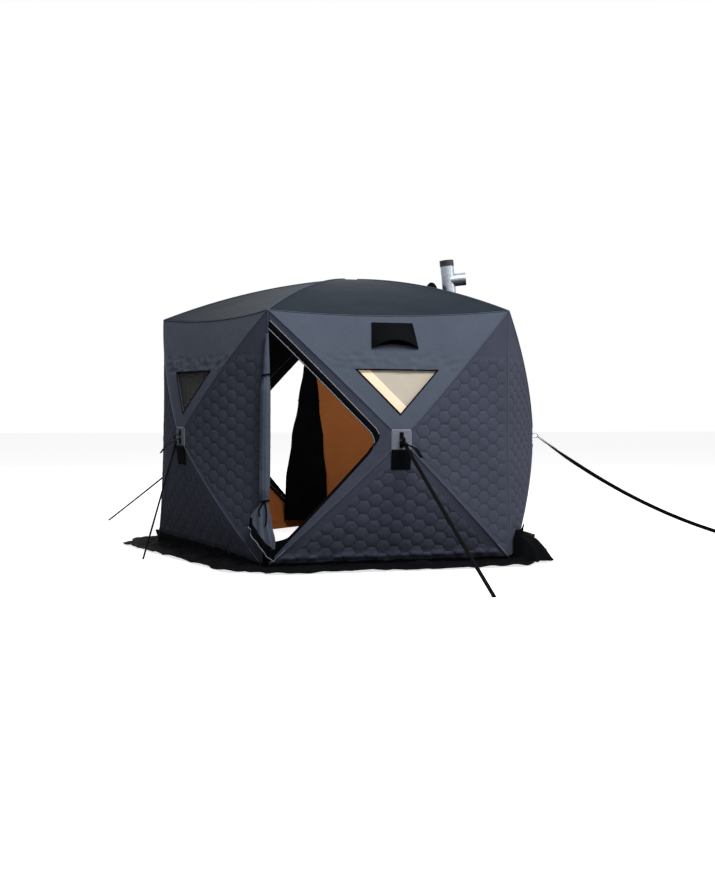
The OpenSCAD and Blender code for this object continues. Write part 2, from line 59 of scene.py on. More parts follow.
Mesh = bmesh.types.BMesh
Socket = bpy.types.NodeSocket


def heading(angle: float) -> Vector:
    """Return the level unit vector at an angle in degrees from +X."""
    turn = math.radians(angle)
    return Vector((math.cos(turn), math.sin(turn), 0.0))


def bow(t: float) -> float:
    """Return a parabola that is 0 at both ends and 1 in the middle."""
    return 4.0 * t * (1.0 - t)


def smooth(t: float) -> float:
    """Return t eased between 0 and 1."""
    t = min(max(t, 0.0), 1.0)
    return t * t * (3.0 - 2.0 * t)


def mix(a: float, b: float, t: float) -> float:
    """Return the value a share t of the way from a to b."""
    return a + (b - a) * t


def shares(count: int) -> list[float]:
    """Return the ends of a count of equal parts of 1, from 0 to 1."""
    return [i / count for i in range(count + 1)]


def lookup(x: float, xs: Sequence[float], ys: Sequence[float]) -> float:
    """Return the value at x of the eased line through points with rising xs.

    Args:
        x: Where to read the line.
        xs: Rising places of its points.
        ys: Values at those places.

    Returns:
        The value, which stays level past the ends.
    """
    for (x0, y0), (x1, y1) in zip(zip(xs, ys), zip(xs[1:], ys[1:])):
        if x <= x1:
            return mix(y0, y1, smooth((x - x0) / (x1 - x0)))
    return ys[-1]


def crumple(p: Vector, size: float, octaves: int = 3) -> float:
    """Return noise from about -1 to 1 whose lumps have a size in metres."""
    return noise.fractal(p / size, 1.0, 2.0, octaves)


class Wall(IntEnum):
    """The five walls, counted anticlockwise from the front."""

    FRONT = 0
    RIGHT = 1
    REAR_RIGHT = 2
    REAR_LEFT = 3
    LEFT = 4


class Part(Enum):
    """The four panels of a wall round its hub, as seen from outside."""

    TOP = "top"
    LEFT = "left"
    BOTTOM = "bottom"
    RIGHT = "right"


@dataclass(frozen=True)
class Panel:
    """A stretched panel: four corners, outer edge first, and the bows of its edges."""

    p00: Vector
    p10: Vector
    p01: Vector
    p11: Vector
    edge: Vector
    side: Vector

    def point(self, u: float, v: float) -> Vector:
        """Return the point u along the outer edge and v from that edge to the hub.

        Args:
            u: Share along the outer edge.
            v: Share of the way to the hub.

        Returns:
            The point.
        """
        outer = self.p00.lerp(self.p10, u)
        inner = self.p01.lerp(self.p11, u)
        return outer.lerp(inner, v) + self.edge * ((1.0 - v) * bow(u)) + self.side * bow(v)


@dataclass(frozen=True)
class Shelter:
    """Sizes of the hull in metres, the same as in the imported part."""

    side: float = 1.8
    eave: float = 1.85
    rise: float = 0.325
    splay: float = 0.04
    corner_sag: float = 0.035
    eave_sag: float = 0.04
    eave_draw: float = 0.02
    corner_draw: float = 0.02
    quilt: float = 0.008
    plain: float = 0.005
    hub_height: float = 0.91
    hub_reach: float = 0.255
    patch: float = 0.14
    cap: float = 0.09
    pole_bow: float = 0.032
    roof_bow: float = 0.055
    ground: float = 0.004
    fold: float = 1.098
    seam_height: float = 1.505

    @property
    def apothem(self) -> float:
        """Return the distance of a wall's eave line from the centre."""
        return self.side / (2.0 * math.tan(math.pi / 5))

    @property
    def eave_r(self) -> float:
        """Return the radius of the eave corners."""
        return self.side / (2.0 * math.sin(math.pi / 5))

    @property
    def base_r(self) -> float:
        """Return the radius of the base corners."""
        return self.eave_r + self.splay

    @property
    def peak(self) -> float:
        """Return the height of the roof hub."""
        return self.eave + self.rise

    @staticmethod
    def angle(k: int) -> float:
        """Return the direction in degrees that wall k faces."""
        return -90.0 + 72.0 * k

    def facing(self, k: int) -> Vector:
        """Return the outward direction of wall k."""
        return heading(self.angle(k))

    def along(self, k: int) -> Vector:
        """Return the direction to the right along wall k, seen from outside."""
        return heading(self.angle(k) + 90.0)

    def radial(self, k: int) -> Vector:
        """Return the outward direction of corner k, on the left of wall k."""
        return heading(self.angle(k) - 36.0)

    def top_corner(self, k: int) -> Vector:
        """Return eave corner k, which sags beside the open front door."""
        sag = self.corner_sag if k % 5 == Wall.FRONT else 0.0
        return self.radial(k) * self.eave_r + UP * (self.eave - sag)

    def base_corner(self, k: int) -> Vector:
        """Return base corner k."""
        return self.radial(k) * self.base_r + UP * self.ground

    def cap_corner(self, k: int) -> Vector:
        """Return corner k of the patch on the roof hub."""
        return self.radial(k) * self.cap + UP * self.peak

    def patch_corner(self, k: int, side: int, level: int) -> Vector:
        """Return a corner of wall k's hub patch, side -1 left and level -1 low."""
        middle = self.facing(k) * (self.apothem + self.hub_reach) + UP * self.hub_height
        return middle + (self.along(k) * side + UP * level) * (self.patch / 2)

    def eave_bow(self, k: int) -> Vector:
        """Return how far eave k is drawn in and down at mid wall."""
        return self.facing(k) * -self.eave_draw - UP * self.eave_sag

    def seam_bow(self, k: int) -> Vector:
        """Return how far corner seam k is drawn in at mid height."""
        return self.radial(k) * -self.corner_draw

    def panel(self, k: int, part: Part) -> Panel:
        """Return one of the four panels of wall k.

        Args:
            k: Number of the wall.
            part: Which panel of it.

        Returns:
            The panel.
        """
        side = self.facing(k) * self.pole_bow
        high, low = self.top_corner, self.base_corner
        patch = self.patch_corner
        if part is Part.TOP:
            return Panel(high(k + 1), high(k), patch(k, 1, 1), patch(k, -1, 1), self.eave_bow(k), side)
        if part is Part.LEFT:
            return Panel(high(k), low(k), patch(k, -1, 1), patch(k, -1, -1), self.seam_bow(k), side)
        if part is Part.BOTTOM:
            return Panel(low(k), low(k + 1), patch(k, -1, -1), patch(k, 1, -1), Vector(), side)
        return Panel(low(k + 1), high(k + 1), patch(k, 1, -1), patch(k, 1, 1), self.seam_bow(k + 1), side)

    def roof_panel(self, k: int) -> Panel:
        """Return the roof panel above wall k.

        Args:
            k: Number of the wall.

        Returns:
            The panel.
        """
        return Panel(
            self.top_corner(k), self.top_corner(k + 1), self.cap_corner(k), self.cap_corner(k + 1),
            self.eave_bow(k), UP * self.roof_bow)

    def outward(self, p: Vector) -> Vector:
        """Return the direction in which the cloth thickens at a point."""
        rate = self.apothem / (self.eave - self.fold)
        return Vector((p.x, p.y, rate * max(0.0, p.z - self.fold))).normalized()

    def seam(self, k: int, z: float) -> Vector:
        """Return the point of corner seam k at a height.

        Args:
            k: Number of the corner.
            z: Height above the ice.

        Returns:
            The point.
        """
        low, high = self.base_corner(k), self.top_corner(k)
        t = (z - low.z) / (high.z - low.z)
        return low.lerp(high, t) + self.seam_bow(k) * bow(t)

    def hem(self, turn: float) -> float:
        """Return the height of the skirt's hem, a turn of 5 going round all the walls."""
        return lookup(turn % 5.0, (0.0, 3.8, 4.0, 4.6, 5.0), (0.045, 0.045, 0.11, 0.09, 0.045))

    def spot(self, k: int, part: Part, s: float, z: float, lift: float = 0.0) -> Vector:
        """Find the point of a panel's cloth at a place seen square on.

        Args:
            k: Number of the wall.
            part: Panel of the wall.
            s: Distance to the right of the wall's middle.
            z: Height above the ice.
            lift: Distance outside the middle of the cloth.

        Returns:
            The point, in the row frame.
        """
        panel = self.panel(k, part)
        along = self.along(k)
        u, v, step = 0.5, 0.4, 1e-4
        p = panel.point(u, v)
        for _ in range(7):
            p = panel.point(u, v)
            du = (panel.point(u + step, v) - p) / step
            dv = (panel.point(u, v + step) - p) / step
            miss = Vector((s - p.dot(along), z - p.z))
            turn = Matrix(((du.dot(along), dv.dot(along)), (du.z, dv.z)))
            move = turn.inverted_safe() @ miss
            u, v = u + move.x, v + move.y
            if miss.length < 1e-6:
                break
        return p + self.outward(p) * lift


SHELTER = Shelter()
DOORS = {Wall.FRONT: "front", Wall.REAR_LEFT: "rear"}


def linear(colour: str) -> tuple[float, float, float, float]:
    """Turn an sRGB hex colour into a linear one with full opacity.

    Args:
        colour: The colour as # and six hex digits.

    Returns:
        Red, green, blue and opacity.
    """
    parts = [int(colour[i:i + 2], 16) / 255.0 for i in (1, 3, 5)]
    r, g, b = (c / 12.92 if c <= 0.04045 else ((c + 0.055) / 1.055) ** 2.4 for c in parts)
    return r, g, b, 1.0


def add_node(
    tree: bpy.types.NodeTree, kind: str, inputs: dict | None = None, **settings: object
) -> bpy.types.Node:
    """Add a node, set its properties and set or link its inputs.

    Args:
        tree: Node tree that gets the node.
        kind: Blender's name for the type of node.
        inputs: Name or number of an input to its value, or to the output that feeds it.
        settings: Properties of the node itself.

    Returns:
        The new node.
    """
    node = tree.nodes.new(kind)
    for name, value in settings.items():
        setattr(node, name, value)
    for key, value in (inputs or {}).items():
        if isinstance(value, Socket):
            tree.links.new(value, node.inputs[key])
        else:
            node.inputs[key].default_value = value
    return node


def new_material(name: str) -> tuple[bpy.types.Material, bpy.types.NodeTree, Socket]:
    """Make an empty node material.

    Args:
        name: Name of the material.

    Returns:
        The material, its node tree and its surface input.
    """
    material = bpy.data.materials.new(name)
    material.use_nodes = True
    material.node_tree.nodes.clear()
    output = add_node(material.node_tree, "ShaderNodeOutputMaterial")
    return material, material.node_tree, output.inputs["Surface"]


@dataclass(frozen=True)
class Cloth:
    """Woven synthetic cloth: matt, faintly grained, creased and a little dusty."""

    name: str
    colour: str
    dusty: str
    grain_mm: float = 4.0
    crease_mm: float = 90.0
    crease: float = 0.35
    roughness: float = 0.85
    sheen: float = 0.03
    shine: float = 0.05
    # Emission in the cloth's own colour: painted light, for daylight coming through thin cloth
    glow: float = 0.0
    quilt_mm: float = 0.0
    groove: float = 0.4

    def hexagons(self, tree: bpy.types.NodeTree) -> Socket:
        """Add the nodes that tell how near a seam of the hexagon quilting is.

        Args:
            tree: Node tree of the material.

        Returns:
            A socket that is 0 in the middle of a hexagon and 1 on its seams.
        """
        side = self.quilt_mm / 1000.0
        half = (1.5 * side, math.sqrt(0.75) * side, 1.0)
        less = tuple(-h for h in half)
        shift = (half[0], half[1], 0.0)
        uv = add_node(tree, "ShaderNodeUVMap", uv_map="wall").outputs[0]
        one = add_node(
            tree, "ShaderNodeVectorMath", {0: uv, 1: half, 2: less}, operation="WRAP").outputs[0]
        moved = add_node(tree, "ShaderNodeVectorMath", {0: uv, 1: shift}, operation="SUBTRACT").outputs[0]
        two = add_node(
            tree, "ShaderNodeVectorMath", {0: moved, 1: half, 2: less}, operation="WRAP").outputs[0]
        far_one = add_node(tree, "ShaderNodeVectorMath", {0: one}, operation="LENGTH").outputs["Value"]
        far_two = add_node(tree, "ShaderNodeVectorMath", {0: two}, operation="LENGTH").outputs["Value"]
        nearer = add_node(
            tree, "ShaderNodeMath", {0: far_two, 1: far_one}, operation="LESS_THAN").outputs[0]
        cell = add_node(
            tree, "ShaderNodeMix", {0: nearer, 4: one, 5: two}, data_type="VECTOR").outputs[1]
        size = add_node(tree, "ShaderNodeVectorMath", {0: cell}, operation="ABSOLUTE").outputs[0]
        axes = add_node(tree, "ShaderNodeSeparateXYZ", {0: size}).outputs
        slant = add_node(
            tree, "ShaderNodeMath", {0: axes[0], 1: math.sqrt(0.75)}, operation="MULTIPLY").outputs[0]
        corner = add_node(
            tree, "ShaderNodeMath", {0: axes[1], 1: 0.5, 2: slant}, operation="MULTIPLY_ADD").outputs[0]
        edge = add_node(tree, "ShaderNodeMath", {0: axes[1], 1: corner}, operation="MAXIMUM").outputs[0]
        return add_node(
            tree, "ShaderNodeMath", {0: edge, 1: half[1]}, operation="DIVIDE").outputs[0]

    def build(self) -> bpy.types.Material:
        """Make the material from Object coordinates, and from the wall's own for quilting.

        Returns:
            The material.
        """
        material, tree, surface = new_material(self.name)
        place = add_node(tree, "ShaderNodeTexCoord").outputs["Object"]
        # The thread spacing is about 0.5 mm, drawn coarser so that the grain shows
        grain = add_node(tree, "ShaderNodeTexNoise", {
            "Vector": place, "Scale": 1000.0 / self.grain_mm, "Detail": 2.0}).outputs["Fac"]
        crease = add_node(tree, "ShaderNodeTexNoise", {
            "Vector": place, "Scale": 1000.0 / self.crease_mm, "Detail": 5.0,
            "Roughness": 0.55, "Distortion": 0.6}).outputs["Fac"]
        dust = add_node(tree, "ShaderNodeTexNoise", {
            "Vector": place, "Scale": 3.2, "Detail": 6.0, "Roughness": 0.6}).outputs["Fac"]
        share = add_node(tree, "ShaderNodeMapRange", {
            "Value": dust, "From Min": 0.38, "From Max": 0.72, "To Min": 0.0, "To Max": 0.7}).outputs[0]
        colour = add_node(tree, "ShaderNodeMix", {
            0: share, 6: linear(self.colour), 7: linear(self.dusty)}, data_type="RGBA").outputs[2]
        speck = add_node(tree, "ShaderNodeMapRange", {
            "Value": grain, "From Min": 0.3, "From Max": 0.7, "To Min": 0.84, "To Max": 1.1}).outputs[0]
        colour = add_node(tree, "ShaderNodeVectorMath", {
            0: colour, 3: speck}, operation="SCALE").outputs[0]
        bump = add_node(tree, "ShaderNodeBump", {
            "Strength": self.crease, "Distance": 0.006, "Height": crease}).outputs[0]
        bump = add_node(tree, "ShaderNodeBump", {
            "Strength": 0.18, "Distance": 0.0008, "Height": grain, "Normal": bump}).outputs[0]
        if self.quilt_mm:
            seam = self.hexagons(tree)
            mask = add_node(tree, "ShaderNodeAttribute", attribute_name="quilt").outputs["Fac"]
            near = add_node(tree, "ShaderNodeMath", {0: seam, 1: 5.0}, operation="POWER").outputs[0]
            near = add_node(tree, "ShaderNodeMath", {0: near, 1: mask}, operation="MULTIPLY").outputs[0]
            bump = add_node(tree, "ShaderNodeBump", {
                "Strength": self.groove, "Distance": 0.008, "Height": near, "Normal": bump},
                invert=True).outputs[0]
            # Painted shade: the colour darkens to 0.62 towards the quilting's seams, for the shade in its
            # grooves
            painted_groove_shade = add_node(tree, "ShaderNodeMapRange", {
                "Value": near, "From Min": 0.55, "From Max": 1.0, "To Min": 1.0, "To Max": 0.62}).outputs[0]
            colour = add_node(tree, "ShaderNodeVectorMath", {
                0: colour, 3: painted_groove_shade}, operation="SCALE").outputs[0]
        shader = add_node(tree, "ShaderNodeBsdfPrincipled", {
            "Base Color": colour, "Roughness": self.roughness, "Sheen Weight": self.sheen,
            "Sheen Roughness": 0.5, "Specular IOR Level": self.shine, "Normal": bump,
            "Emission Color": colour, "Emission Strength": self.glow})
        tree.links.new(shader.outputs[0], surface)
        return material


@dataclass(frozen=True)
class Webbing:
    """Woven polyester webbing: ribs across the strap and a dull edge."""

    name: str
    colour: str
    rib_mm: float = 7.8955

    def build(self) -> bpy.types.Material:
        """Make the material from the strap's own UV map, in metres.

        Returns:
            The material.
        """
        material, tree, surface = new_material(self.name)
        uv = add_node(tree, "ShaderNodeUVMap", uv_map="strap").outputs[0]
        # Real ribs are 1.5 mm apart, drawn coarser so that they show. At scale 1 a wave is tau / 20 long
        ribs = add_node(tree, "ShaderNodeTexWave", {
            "Vector": uv, "Scale": math.tau / 20.0 * 1000.0 / self.rib_mm, "Distortion": 0.4},
            bands_direction="X").outputs["Fac"]
        worn = add_node(tree, "ShaderNodeTexNoise", {
            "Vector": uv, "Scale": 40.0, "Detail": 4.0}).outputs["Fac"]
        tone = add_node(tree, "ShaderNodeMapRange", {
            "Value": worn, "From Min": 0.3, "From Max": 0.7, "To Min": 0.7, "To Max": 1.5}).outputs[0]
        colour = add_node(tree, "ShaderNodeVectorMath", {
            0: linear(self.colour)[:3], 3: tone}, operation="SCALE").outputs[0]
        bump = add_node(tree, "ShaderNodeBump", {
            "Strength": 0.5, "Distance": 0.0008, "Height": ribs}).outputs[0]
        shader = add_node(tree, "ShaderNodeBsdfPrincipled", {
            "Base Color": colour, "Roughness": 0.85, "Specular IOR Level": 0.05, "Normal": bump})
        tree.links.new(shader.outputs[0], surface)
        return material


@dataclass(frozen=True)
class Metal:
    """Sheet or wire metal: spangled where galvanised, with soft scratches."""

    name: str
    colour: str
    shade: str
    spangle_mm: float = 16.0
    roughness: float = 0.38

    def build(self) -> bpy.types.Material:
        """Make the material from Object coordinates.

        Returns:
            The material.
        """
        material, tree, surface = new_material(self.name)
        place = add_node(tree, "ShaderNodeTexCoord").outputs["Object"]
        spangle = add_node(tree, "ShaderNodeTexVoronoi", {
            "Vector": place, "Scale": 1000.0 / self.spangle_mm}).outputs["Color"]
        smear = add_node(tree, "ShaderNodeTexNoise", {
            "Vector": place, "Scale": 22.0, "Detail": 6.0, "Roughness": 0.65}).outputs["Fac"]
        level = add_node(tree, "ShaderNodeSeparateXYZ", {0: spangle}).outputs[0]
        share = add_node(tree, "ShaderNodeMath", {0: level, 1: smear}, operation="MULTIPLY").outputs[0]
        colour = add_node(tree, "ShaderNodeMix", {
            0: share, 6: linear(self.colour), 7: linear(self.shade)}, data_type="RGBA").outputs[2]
        rough = add_node(tree, "ShaderNodeMapRange", {
            "Value": smear, "From Min": 0.3, "From Max": 0.7,
            "To Min": self.roughness - 0.08, "To Max": self.roughness + 0.12}).outputs[0]
        shader = add_node(tree, "ShaderNodeBsdfPrincipled", {
            "Base Color": colour, "Metallic": 1.0, "Roughness": rough})
        tree.links.new(shader.outputs[0], surface)
        return material


@dataclass(frozen=True)
class Moulding:
    """Moulded plastic or enamel: even colour, fine grain and slight wear."""

    name: str
    colour: str
    worn: str
    roughness: float = 0.45
    grain_mm: float = 2.0

    def build(self) -> bpy.types.Material:
        """Make the material from Object coordinates.

        Returns:
            The material.
        """
        material, tree, surface = new_material(self.name)
        place = add_node(tree, "ShaderNodeTexCoord").outputs["Object"]
        grain = add_node(tree, "ShaderNodeTexNoise", {
            "Vector": place, "Scale": 1000.0 / self.grain_mm, "Detail": 2.0}).outputs["Fac"]
        wear = add_node(tree, "ShaderNodeTexNoise", {
            "Vector": place, "Scale": 30.0, "Detail": 6.0}).outputs["Fac"]
        share = add_node(tree, "ShaderNodeMapRange", {
            "Value": wear, "From Min": 0.5, "From Max": 0.75}).outputs[0]
        colour = add_node(tree, "ShaderNodeMix", {
            0: share, 6: linear(self.colour), 7: linear(self.worn)}, data_type="RGBA").outputs[2]
        bump = add_node(tree, "ShaderNodeBump", {
            "Strength": 0.25, "Distance": 0.0006, "Height": grain}).outputs[0]
        shader = add_node(tree, "ShaderNodeBsdfPrincipled", {
            "Base Color": colour, "Roughness": self.roughness, "Normal": bump})
        tree.links.new(shader.outputs[0], surface)
        return material


@dataclass(frozen=True)
class Film:
    """Clear soft PVC film: see-through, a little hazy, with slight waves."""

    name: str
    colour: str
    haze: float = 0.03

    def build(self) -> bpy.types.Material:
        """Make the material from Object coordinates.

        Returns:
            The material.
        """
        material, tree, surface = new_material(self.name)
        place = add_node(tree, "ShaderNodeTexCoord").outputs["Object"]
        wave = add_node(tree, "ShaderNodeTexNoise", {
            "Vector": place, "Scale": 9.0, "Detail": 3.0}).outputs["Fac"]
        bump = add_node(tree, "ShaderNodeBump", {
            "Strength": 0.12, "Distance": 0.004, "Height": wave}).outputs[0]
        shader = add_node(tree, "ShaderNodeBsdfPrincipled", {
            "Base Color": linear(self.colour), "Roughness": 0.2, "Specular IOR Level": 0.15,
            "Alpha": self.haze, "Normal": bump})
        tree.links.new(shader.outputs[0], surface)
        return material


class Finishes:
    """All finishes of the shelter, made once."""

    def __init__(self) -> None:
        """Build every material from its finish."""
        # Quilted oxford cloth of the walls, stitched through in hexagons; its colour is the plain cloth's
        # darkened by about a fifth, as painted shade
        self.quilt = Cloth("quilted_oxford_cloth", "#464a59", "#4d5160", quilt_mm=56.0).build()
        # The same cloth in one layer on the tops of the walls and the door
        self.plain = Cloth("plain_oxford_cloth", "#505866", "#585f6d", crease=0.5).build()
        # Darker coated cloth of the roof
        self.roof = Cloth("coated_roof_cloth", "#242b34", "#2a323b", crease=0.4).build()
        # Warm brown taffeta lining behind the quilting
        self.lining = Cloth("brown_taffeta_lining", "#c8783f", "#cc8450", sheen=0.0).build()
        # Black on the inside of the single layers, the door surrounds and the walls above the seam
        self.backing = Cloth("black_inner_cloth", "#0c0c0e", "#131316", sheen=0.0).build()
        # Heavy black cloth of the skirt, flaps and hood
        self.black = Cloth(
            "black_tarpaulin_cloth", "#06070a", "#0f1014", crease_mm=60.0, crease=0.6, sheen=0.0).build()
        # Pale reinforcing cloth over the hubs
        self.patch = Cloth("pale_reinforcing_cloth", "#787c89", "#8a8e9a", grain_mm=6.0).build()
        # Off-white cord and zip tape
        self.piping = Cloth("pale_piping_cord", "#8d919b", "#a9adb5", crease=0.1).build()
        # Thin cream and beige cloth of the front blind; both glow as painted light for daylight coming
        # through it, the cream band more
        self.cream = Cloth("cream_blind_cloth", "#fbe2c4", "#f6dec2", crease=0.2, glow=0.31).build()
        self.beige = Cloth("beige_blind_cloth", "#cbc1b2", "#c4b9a8", crease=0.2, glow=0.09).build()
        # Dark sheet behind the left window: painted shade for the dark inside seen through it
        self.painted_shade_sheet = Cloth("painted_shade_sheet_cloth", "#38383a", "#3e3e3f", crease=0.2).build()
        self.webbing = Webbing("black_polyester_webbing", "#08080b").build()
        self.film = Film("clear_pvc_film", "#77756f").build()
        self.hub = Moulding("moulded_black_nylon", "#1c1d20", "#2b2c30").build()
        self.pole = Moulding("black_glass_fibre", "#1f2023", "#2a2b2f", roughness=0.4).build()
        self.ring = Metal("dark_oxide_steel_wire", "#2a2b2e", "#1a1b1d", roughness=0.4).build()
        self.flue = Metal("galvanised_sheet_steel", "#aeb6bd", "#868e97").build()
        self.collar = Moulding("black_stove_enamel", "#111214", "#1e1f22", roughness=0.5).build()


def grid_cloth(
    columns: int, rows: int, place: Place, uv: str = "", size: tuple[float, float] = (1, 1)
) -> Mesh:
    """Make a sheet of cells and put each point in its place.

    Args:
        columns: Cells along u.
        rows: Cells along v.
        place: Point for u and v from 0 to 1.
        uv: Name of the UV map to make, if any.
        size: Lengths in metres that u and v stand for in that map.

    Returns:
        The sheet as a new mesh.
    """
    bm = bmesh.new()
    bmesh.ops.create_grid(bm, x_segments=columns, y_segments=rows, size=0.5)
    if uv:
        layer = bm.loops.layers.uv.new(uv)
        for face in bm.faces:
            for corner in face.loops:
                co = corner.vert.co
                corner[layer].uv = ((co.x + 0.5) * size[0], (co.y + 0.5) * size[1])
    for vert in bm.verts:
        vert.co = place(vert.co.x + 0.5, vert.co.y + 0.5)
    return bm


def add_thickness(bm: Mesh, thickness: float) -> None:
    """Give a sheet thickness on the inside and point its faces outwards.

    Args:
        bm: The sheet.
        thickness: Its thickness in metres.
    """
    bm.normal_update()
    bmesh.ops.solidify(bm, geom=bm.faces[:], thickness=thickness)
    bmesh.ops.recalc_face_normals(bm, faces=bm.faces[:])


def add_tubes(bm: Mesh, paths: Sequence[Sequence[Vector]], radius: float, closed: bool = False) -> None:
    """Add round cords along lines of points to a mesh.

    Args:
        bm: Mesh that gets the cords.
        paths: Points of each cord.
        radius: Radius of the cords.
        closed: Whether the last point joins the first.
    """
    curve = bpy.data.curves.new("cord", "CURVE")
    curve.dimensions = "3D"
    curve.bevel_depth = radius
    curve.bevel_resolution = 2
    curve.use_fill_caps = True
    for path in paths:
        spline = curve.splines.new("POLY")
        spline.points.add(len(path) - 1)
        spline.use_cyclic_u = closed
        for point, co in zip(spline.points, path):
            point.co = (*co, 1.0)
    helper = bpy.data.objects.new("cord", curve)
    bpy.context.scene.collection.objects.link(helper)
    mesh = bpy.data.meshes.new_from_object(helper.evaluated_get(bpy.context.evaluated_depsgraph_get()))
    bm.from_mesh(mesh)
    bpy.data.objects.remove(helper)
    bpy.data.curves.remove(curve)
    bpy.data.meshes.remove(mesh)


def close_tube(bm: Mesh) -> None:
    """Join the first and last columns of a rolled sheet and close its ends.

    Args:
        bm: The rolled sheet.
    """
    bmesh.ops.remove_doubles(bm, verts=bm.verts[:], dist=1e-5)
    bmesh.ops.holes_fill(bm, edges=[edge for edge in bm.edges if edge.is_boundary], sides=0)
    bmesh.ops.recalc_face_normals(bm, faces=bm.faces[:])


def join(target: Mesh, source: Mesh) -> None:
    """Add a mesh to another one and free it.

    Args:
        target: Mesh that grows.
        source: Mesh that is added and freed.
    """
    mesh = bpy.data.meshes.new("joined")
    source.to_mesh(mesh)
    source.free()
    target.from_mesh(mesh)
    bpy.data.meshes.remove(mesh)


def cut_hole(bm: Mesh, planes: Sequence[Plane]) -> None:
    """Cut a convex hole into a sheet.

    Args:
        bm: The sheet.
        planes: Point and outward direction of each side of the hole.
    """
    inside = list(bm.faces)
    for point, outward in planes:
        geom = {item for face in inside for item in (face, *face.edges, *face.verts)}
        cut = bmesh.ops.bisect_plane(
            bm, geom=list(geom), dist=1e-6, plane_co=point, plane_no=outward)
        faces = [item for item in cut["geom"] if isinstance(item, bmesh.types.BMFace)]
        inside = [face for face in faces if (face.calc_center_median() - point).dot(outward) < 0]
    bmesh.ops.delete(bm, geom=inside, context="FACES")


def finish_piece(
    name: str, bm: Mesh, materials: Sequence[bpy.types.Material], slot: str, nodes: Sequence[str] = ()
) -> bpy.types.Object:
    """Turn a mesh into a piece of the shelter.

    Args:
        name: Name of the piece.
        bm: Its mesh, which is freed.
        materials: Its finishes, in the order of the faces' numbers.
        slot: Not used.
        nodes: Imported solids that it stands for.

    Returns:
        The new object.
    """
    for face in bm.faces:
        face.smooth = True
    mesh = bpy.data.meshes.new(name)
    bm.to_mesh(mesh)
    bm.free()
    for material in materials:
        mesh.materials.append(material)
    piece = bpy.data.objects.new(name, mesh)
    bpy.context.scene.collection.objects.link(piece)
    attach(piece, BODY)
    if nodes:
        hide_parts(*nodes)
    LOG.info("%s: %d faces", name, len(mesh.polygons))
    return piece


def sheet_area(bm: Mesh) -> float:
    """Return the area of a sheet that has no thickness yet."""
    return sum(face.calc_area() for face in bm.faces)


def face_out(bm: Mesh, k: int) -> None:
    """Turn a sheet on wall k so that it faces outwards.

    Args:
        bm: The sheet.
        k: Number of the wall.
    """
    bm.normal_update()
    if sum(face.normal.dot(SHELTER.facing(k)) for face in bm.faces) < 0:
        bmesh.ops.reverse_faces(bm, faces=bm.faces[:])


def make_sheet(
    name: str, bm: Mesh, thickness: float, materials: Sequence[bpy.types.Material], slot: str,
    nodes: Sequence[str] = (),
) -> tuple[bpy.types.Object, float]:
    """Thicken a sheet and finish it as a piece, and return that and the area of its cloth.

    Args:
        name: Name of the piece.
        bm: The sheet, which is freed.
        thickness: Its thickness in metres.
        materials: Its finishes.
        slot: Material slot of the record.
        nodes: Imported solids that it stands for.

    Returns:
        The new object and the area of its cloth.
    """
    area = sheet_area(bm)
    add_thickness(bm, thickness)
    return finish_piece(name, bm, materials, slot, nodes), area


def make_cords(
    name: str, runs: Sequence[tuple[Sequence[Sequence[Vector]], float, bool]],
    material: bpy.types.Material, slot: str, nodes: Sequence[str] = (),
) -> None:
    """Make a piece from runs of cords, each with its paths, its radius and whether its ends meet.

    Args:
        name: Name of the piece.
        runs: Paths of some cords, their radius and whether their ends meet.
        material: Its finish.
        slot: Material slot of the record.
        nodes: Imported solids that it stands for.
    """
    bm = bmesh.new()
    for paths, radius, closed in runs:
        add_tubes(bm, paths, radius, closed)
    finish_piece(name, bm, [material], slot, nodes)


def rim_ease(x: float, y: float, half: float, width: float) -> float:
    """Return 0 on the edge of a square of a half width and 1 from a width inside it."""
    return smooth((half - max(abs(x), abs(y))) / width)


@dataclass
class Doorway:
    """Outline of a doorway on the left panel of its wall, in the wall's own plane."""

    end: float = 0.195
    radius: float = 0.12
    height: float = 0.888
    top: float = 1.681
    base: float = 0.05

    def tangent(self, z: float) -> tuple[float, float]:
        """Return the angle and length of the straight edge from the corner at a height.

        Args:
            z: Height of the corner.

        Returns:
            The angle and the length.
        """
        s, rise = self.end + self.radius - SHELTER.side / 2, z - self.height
        far = math.hypot(s, rise)
        side = math.copysign(1.0, rise)
        angle = math.degrees(math.atan2(rise, s) - side * math.acos(self.radius / far))
        return angle, math.sqrt(far * far - self.radius * self.radius)

    def arc(self, angle: float, margin: float = 0.0) -> tuple[float, float]:
        """Return s and z on the rounded end at an angle, a margin outside it.

        Args:
            angle: Angle round the rounded end.
            margin: Distance outside it.

        Returns:
            s and z.
        """
        turn = math.radians(angle)
        far = self.radius + margin
        return far * math.cos(turn) - self.end - self.radius, far * math.sin(turn) + self.height

    def edge(self, t: float, margin: float = 0.0) -> tuple[float, float]:
        """Return s and z along the outline, from the lower seam (0) to the upper one (1).

        Args:
            t: Share of the way along the outline.
            margin: Distance outside it.

        Returns:
            s and z.
        """
        (low, low_run), (high, high_run) = self.tangent(self.base), self.tangent(self.top)
        if 0.4 <= t <= 0.6:
            return self.arc(mix(low, high, (t - 0.4) / 0.2), margin)
        angle, run, way = (low, (1.0 - t / 0.4) * low_run, -90.0) if t < 0.4 else (
            high, (t - 0.6) / 0.4 * high_run, 90.0)
        s, z = self.arc(angle, margin)
        turn = math.radians(angle + way)
        return s + run * math.cos(turn), z + run * math.sin(turn)

    def planes(self, k: int) -> list[Plane]:
        """Return the planes that cut the doorway out of wall k's left panel.

        Args:
            k: Number of the wall.

        Returns:
            Point and outward direction of each plane.
        """
        along = SHELTER.along(k)
        sides = []
        for t in shares(9):
            angle = mix(self.tangent(self.base)[0], self.tangent(self.top)[0], t)
            s, z = self.arc(angle)
            turn = math.radians(angle)
            sides.append((along * s + UP * z, along * math.cos(turn) + UP * math.sin(turn)))
        return sides


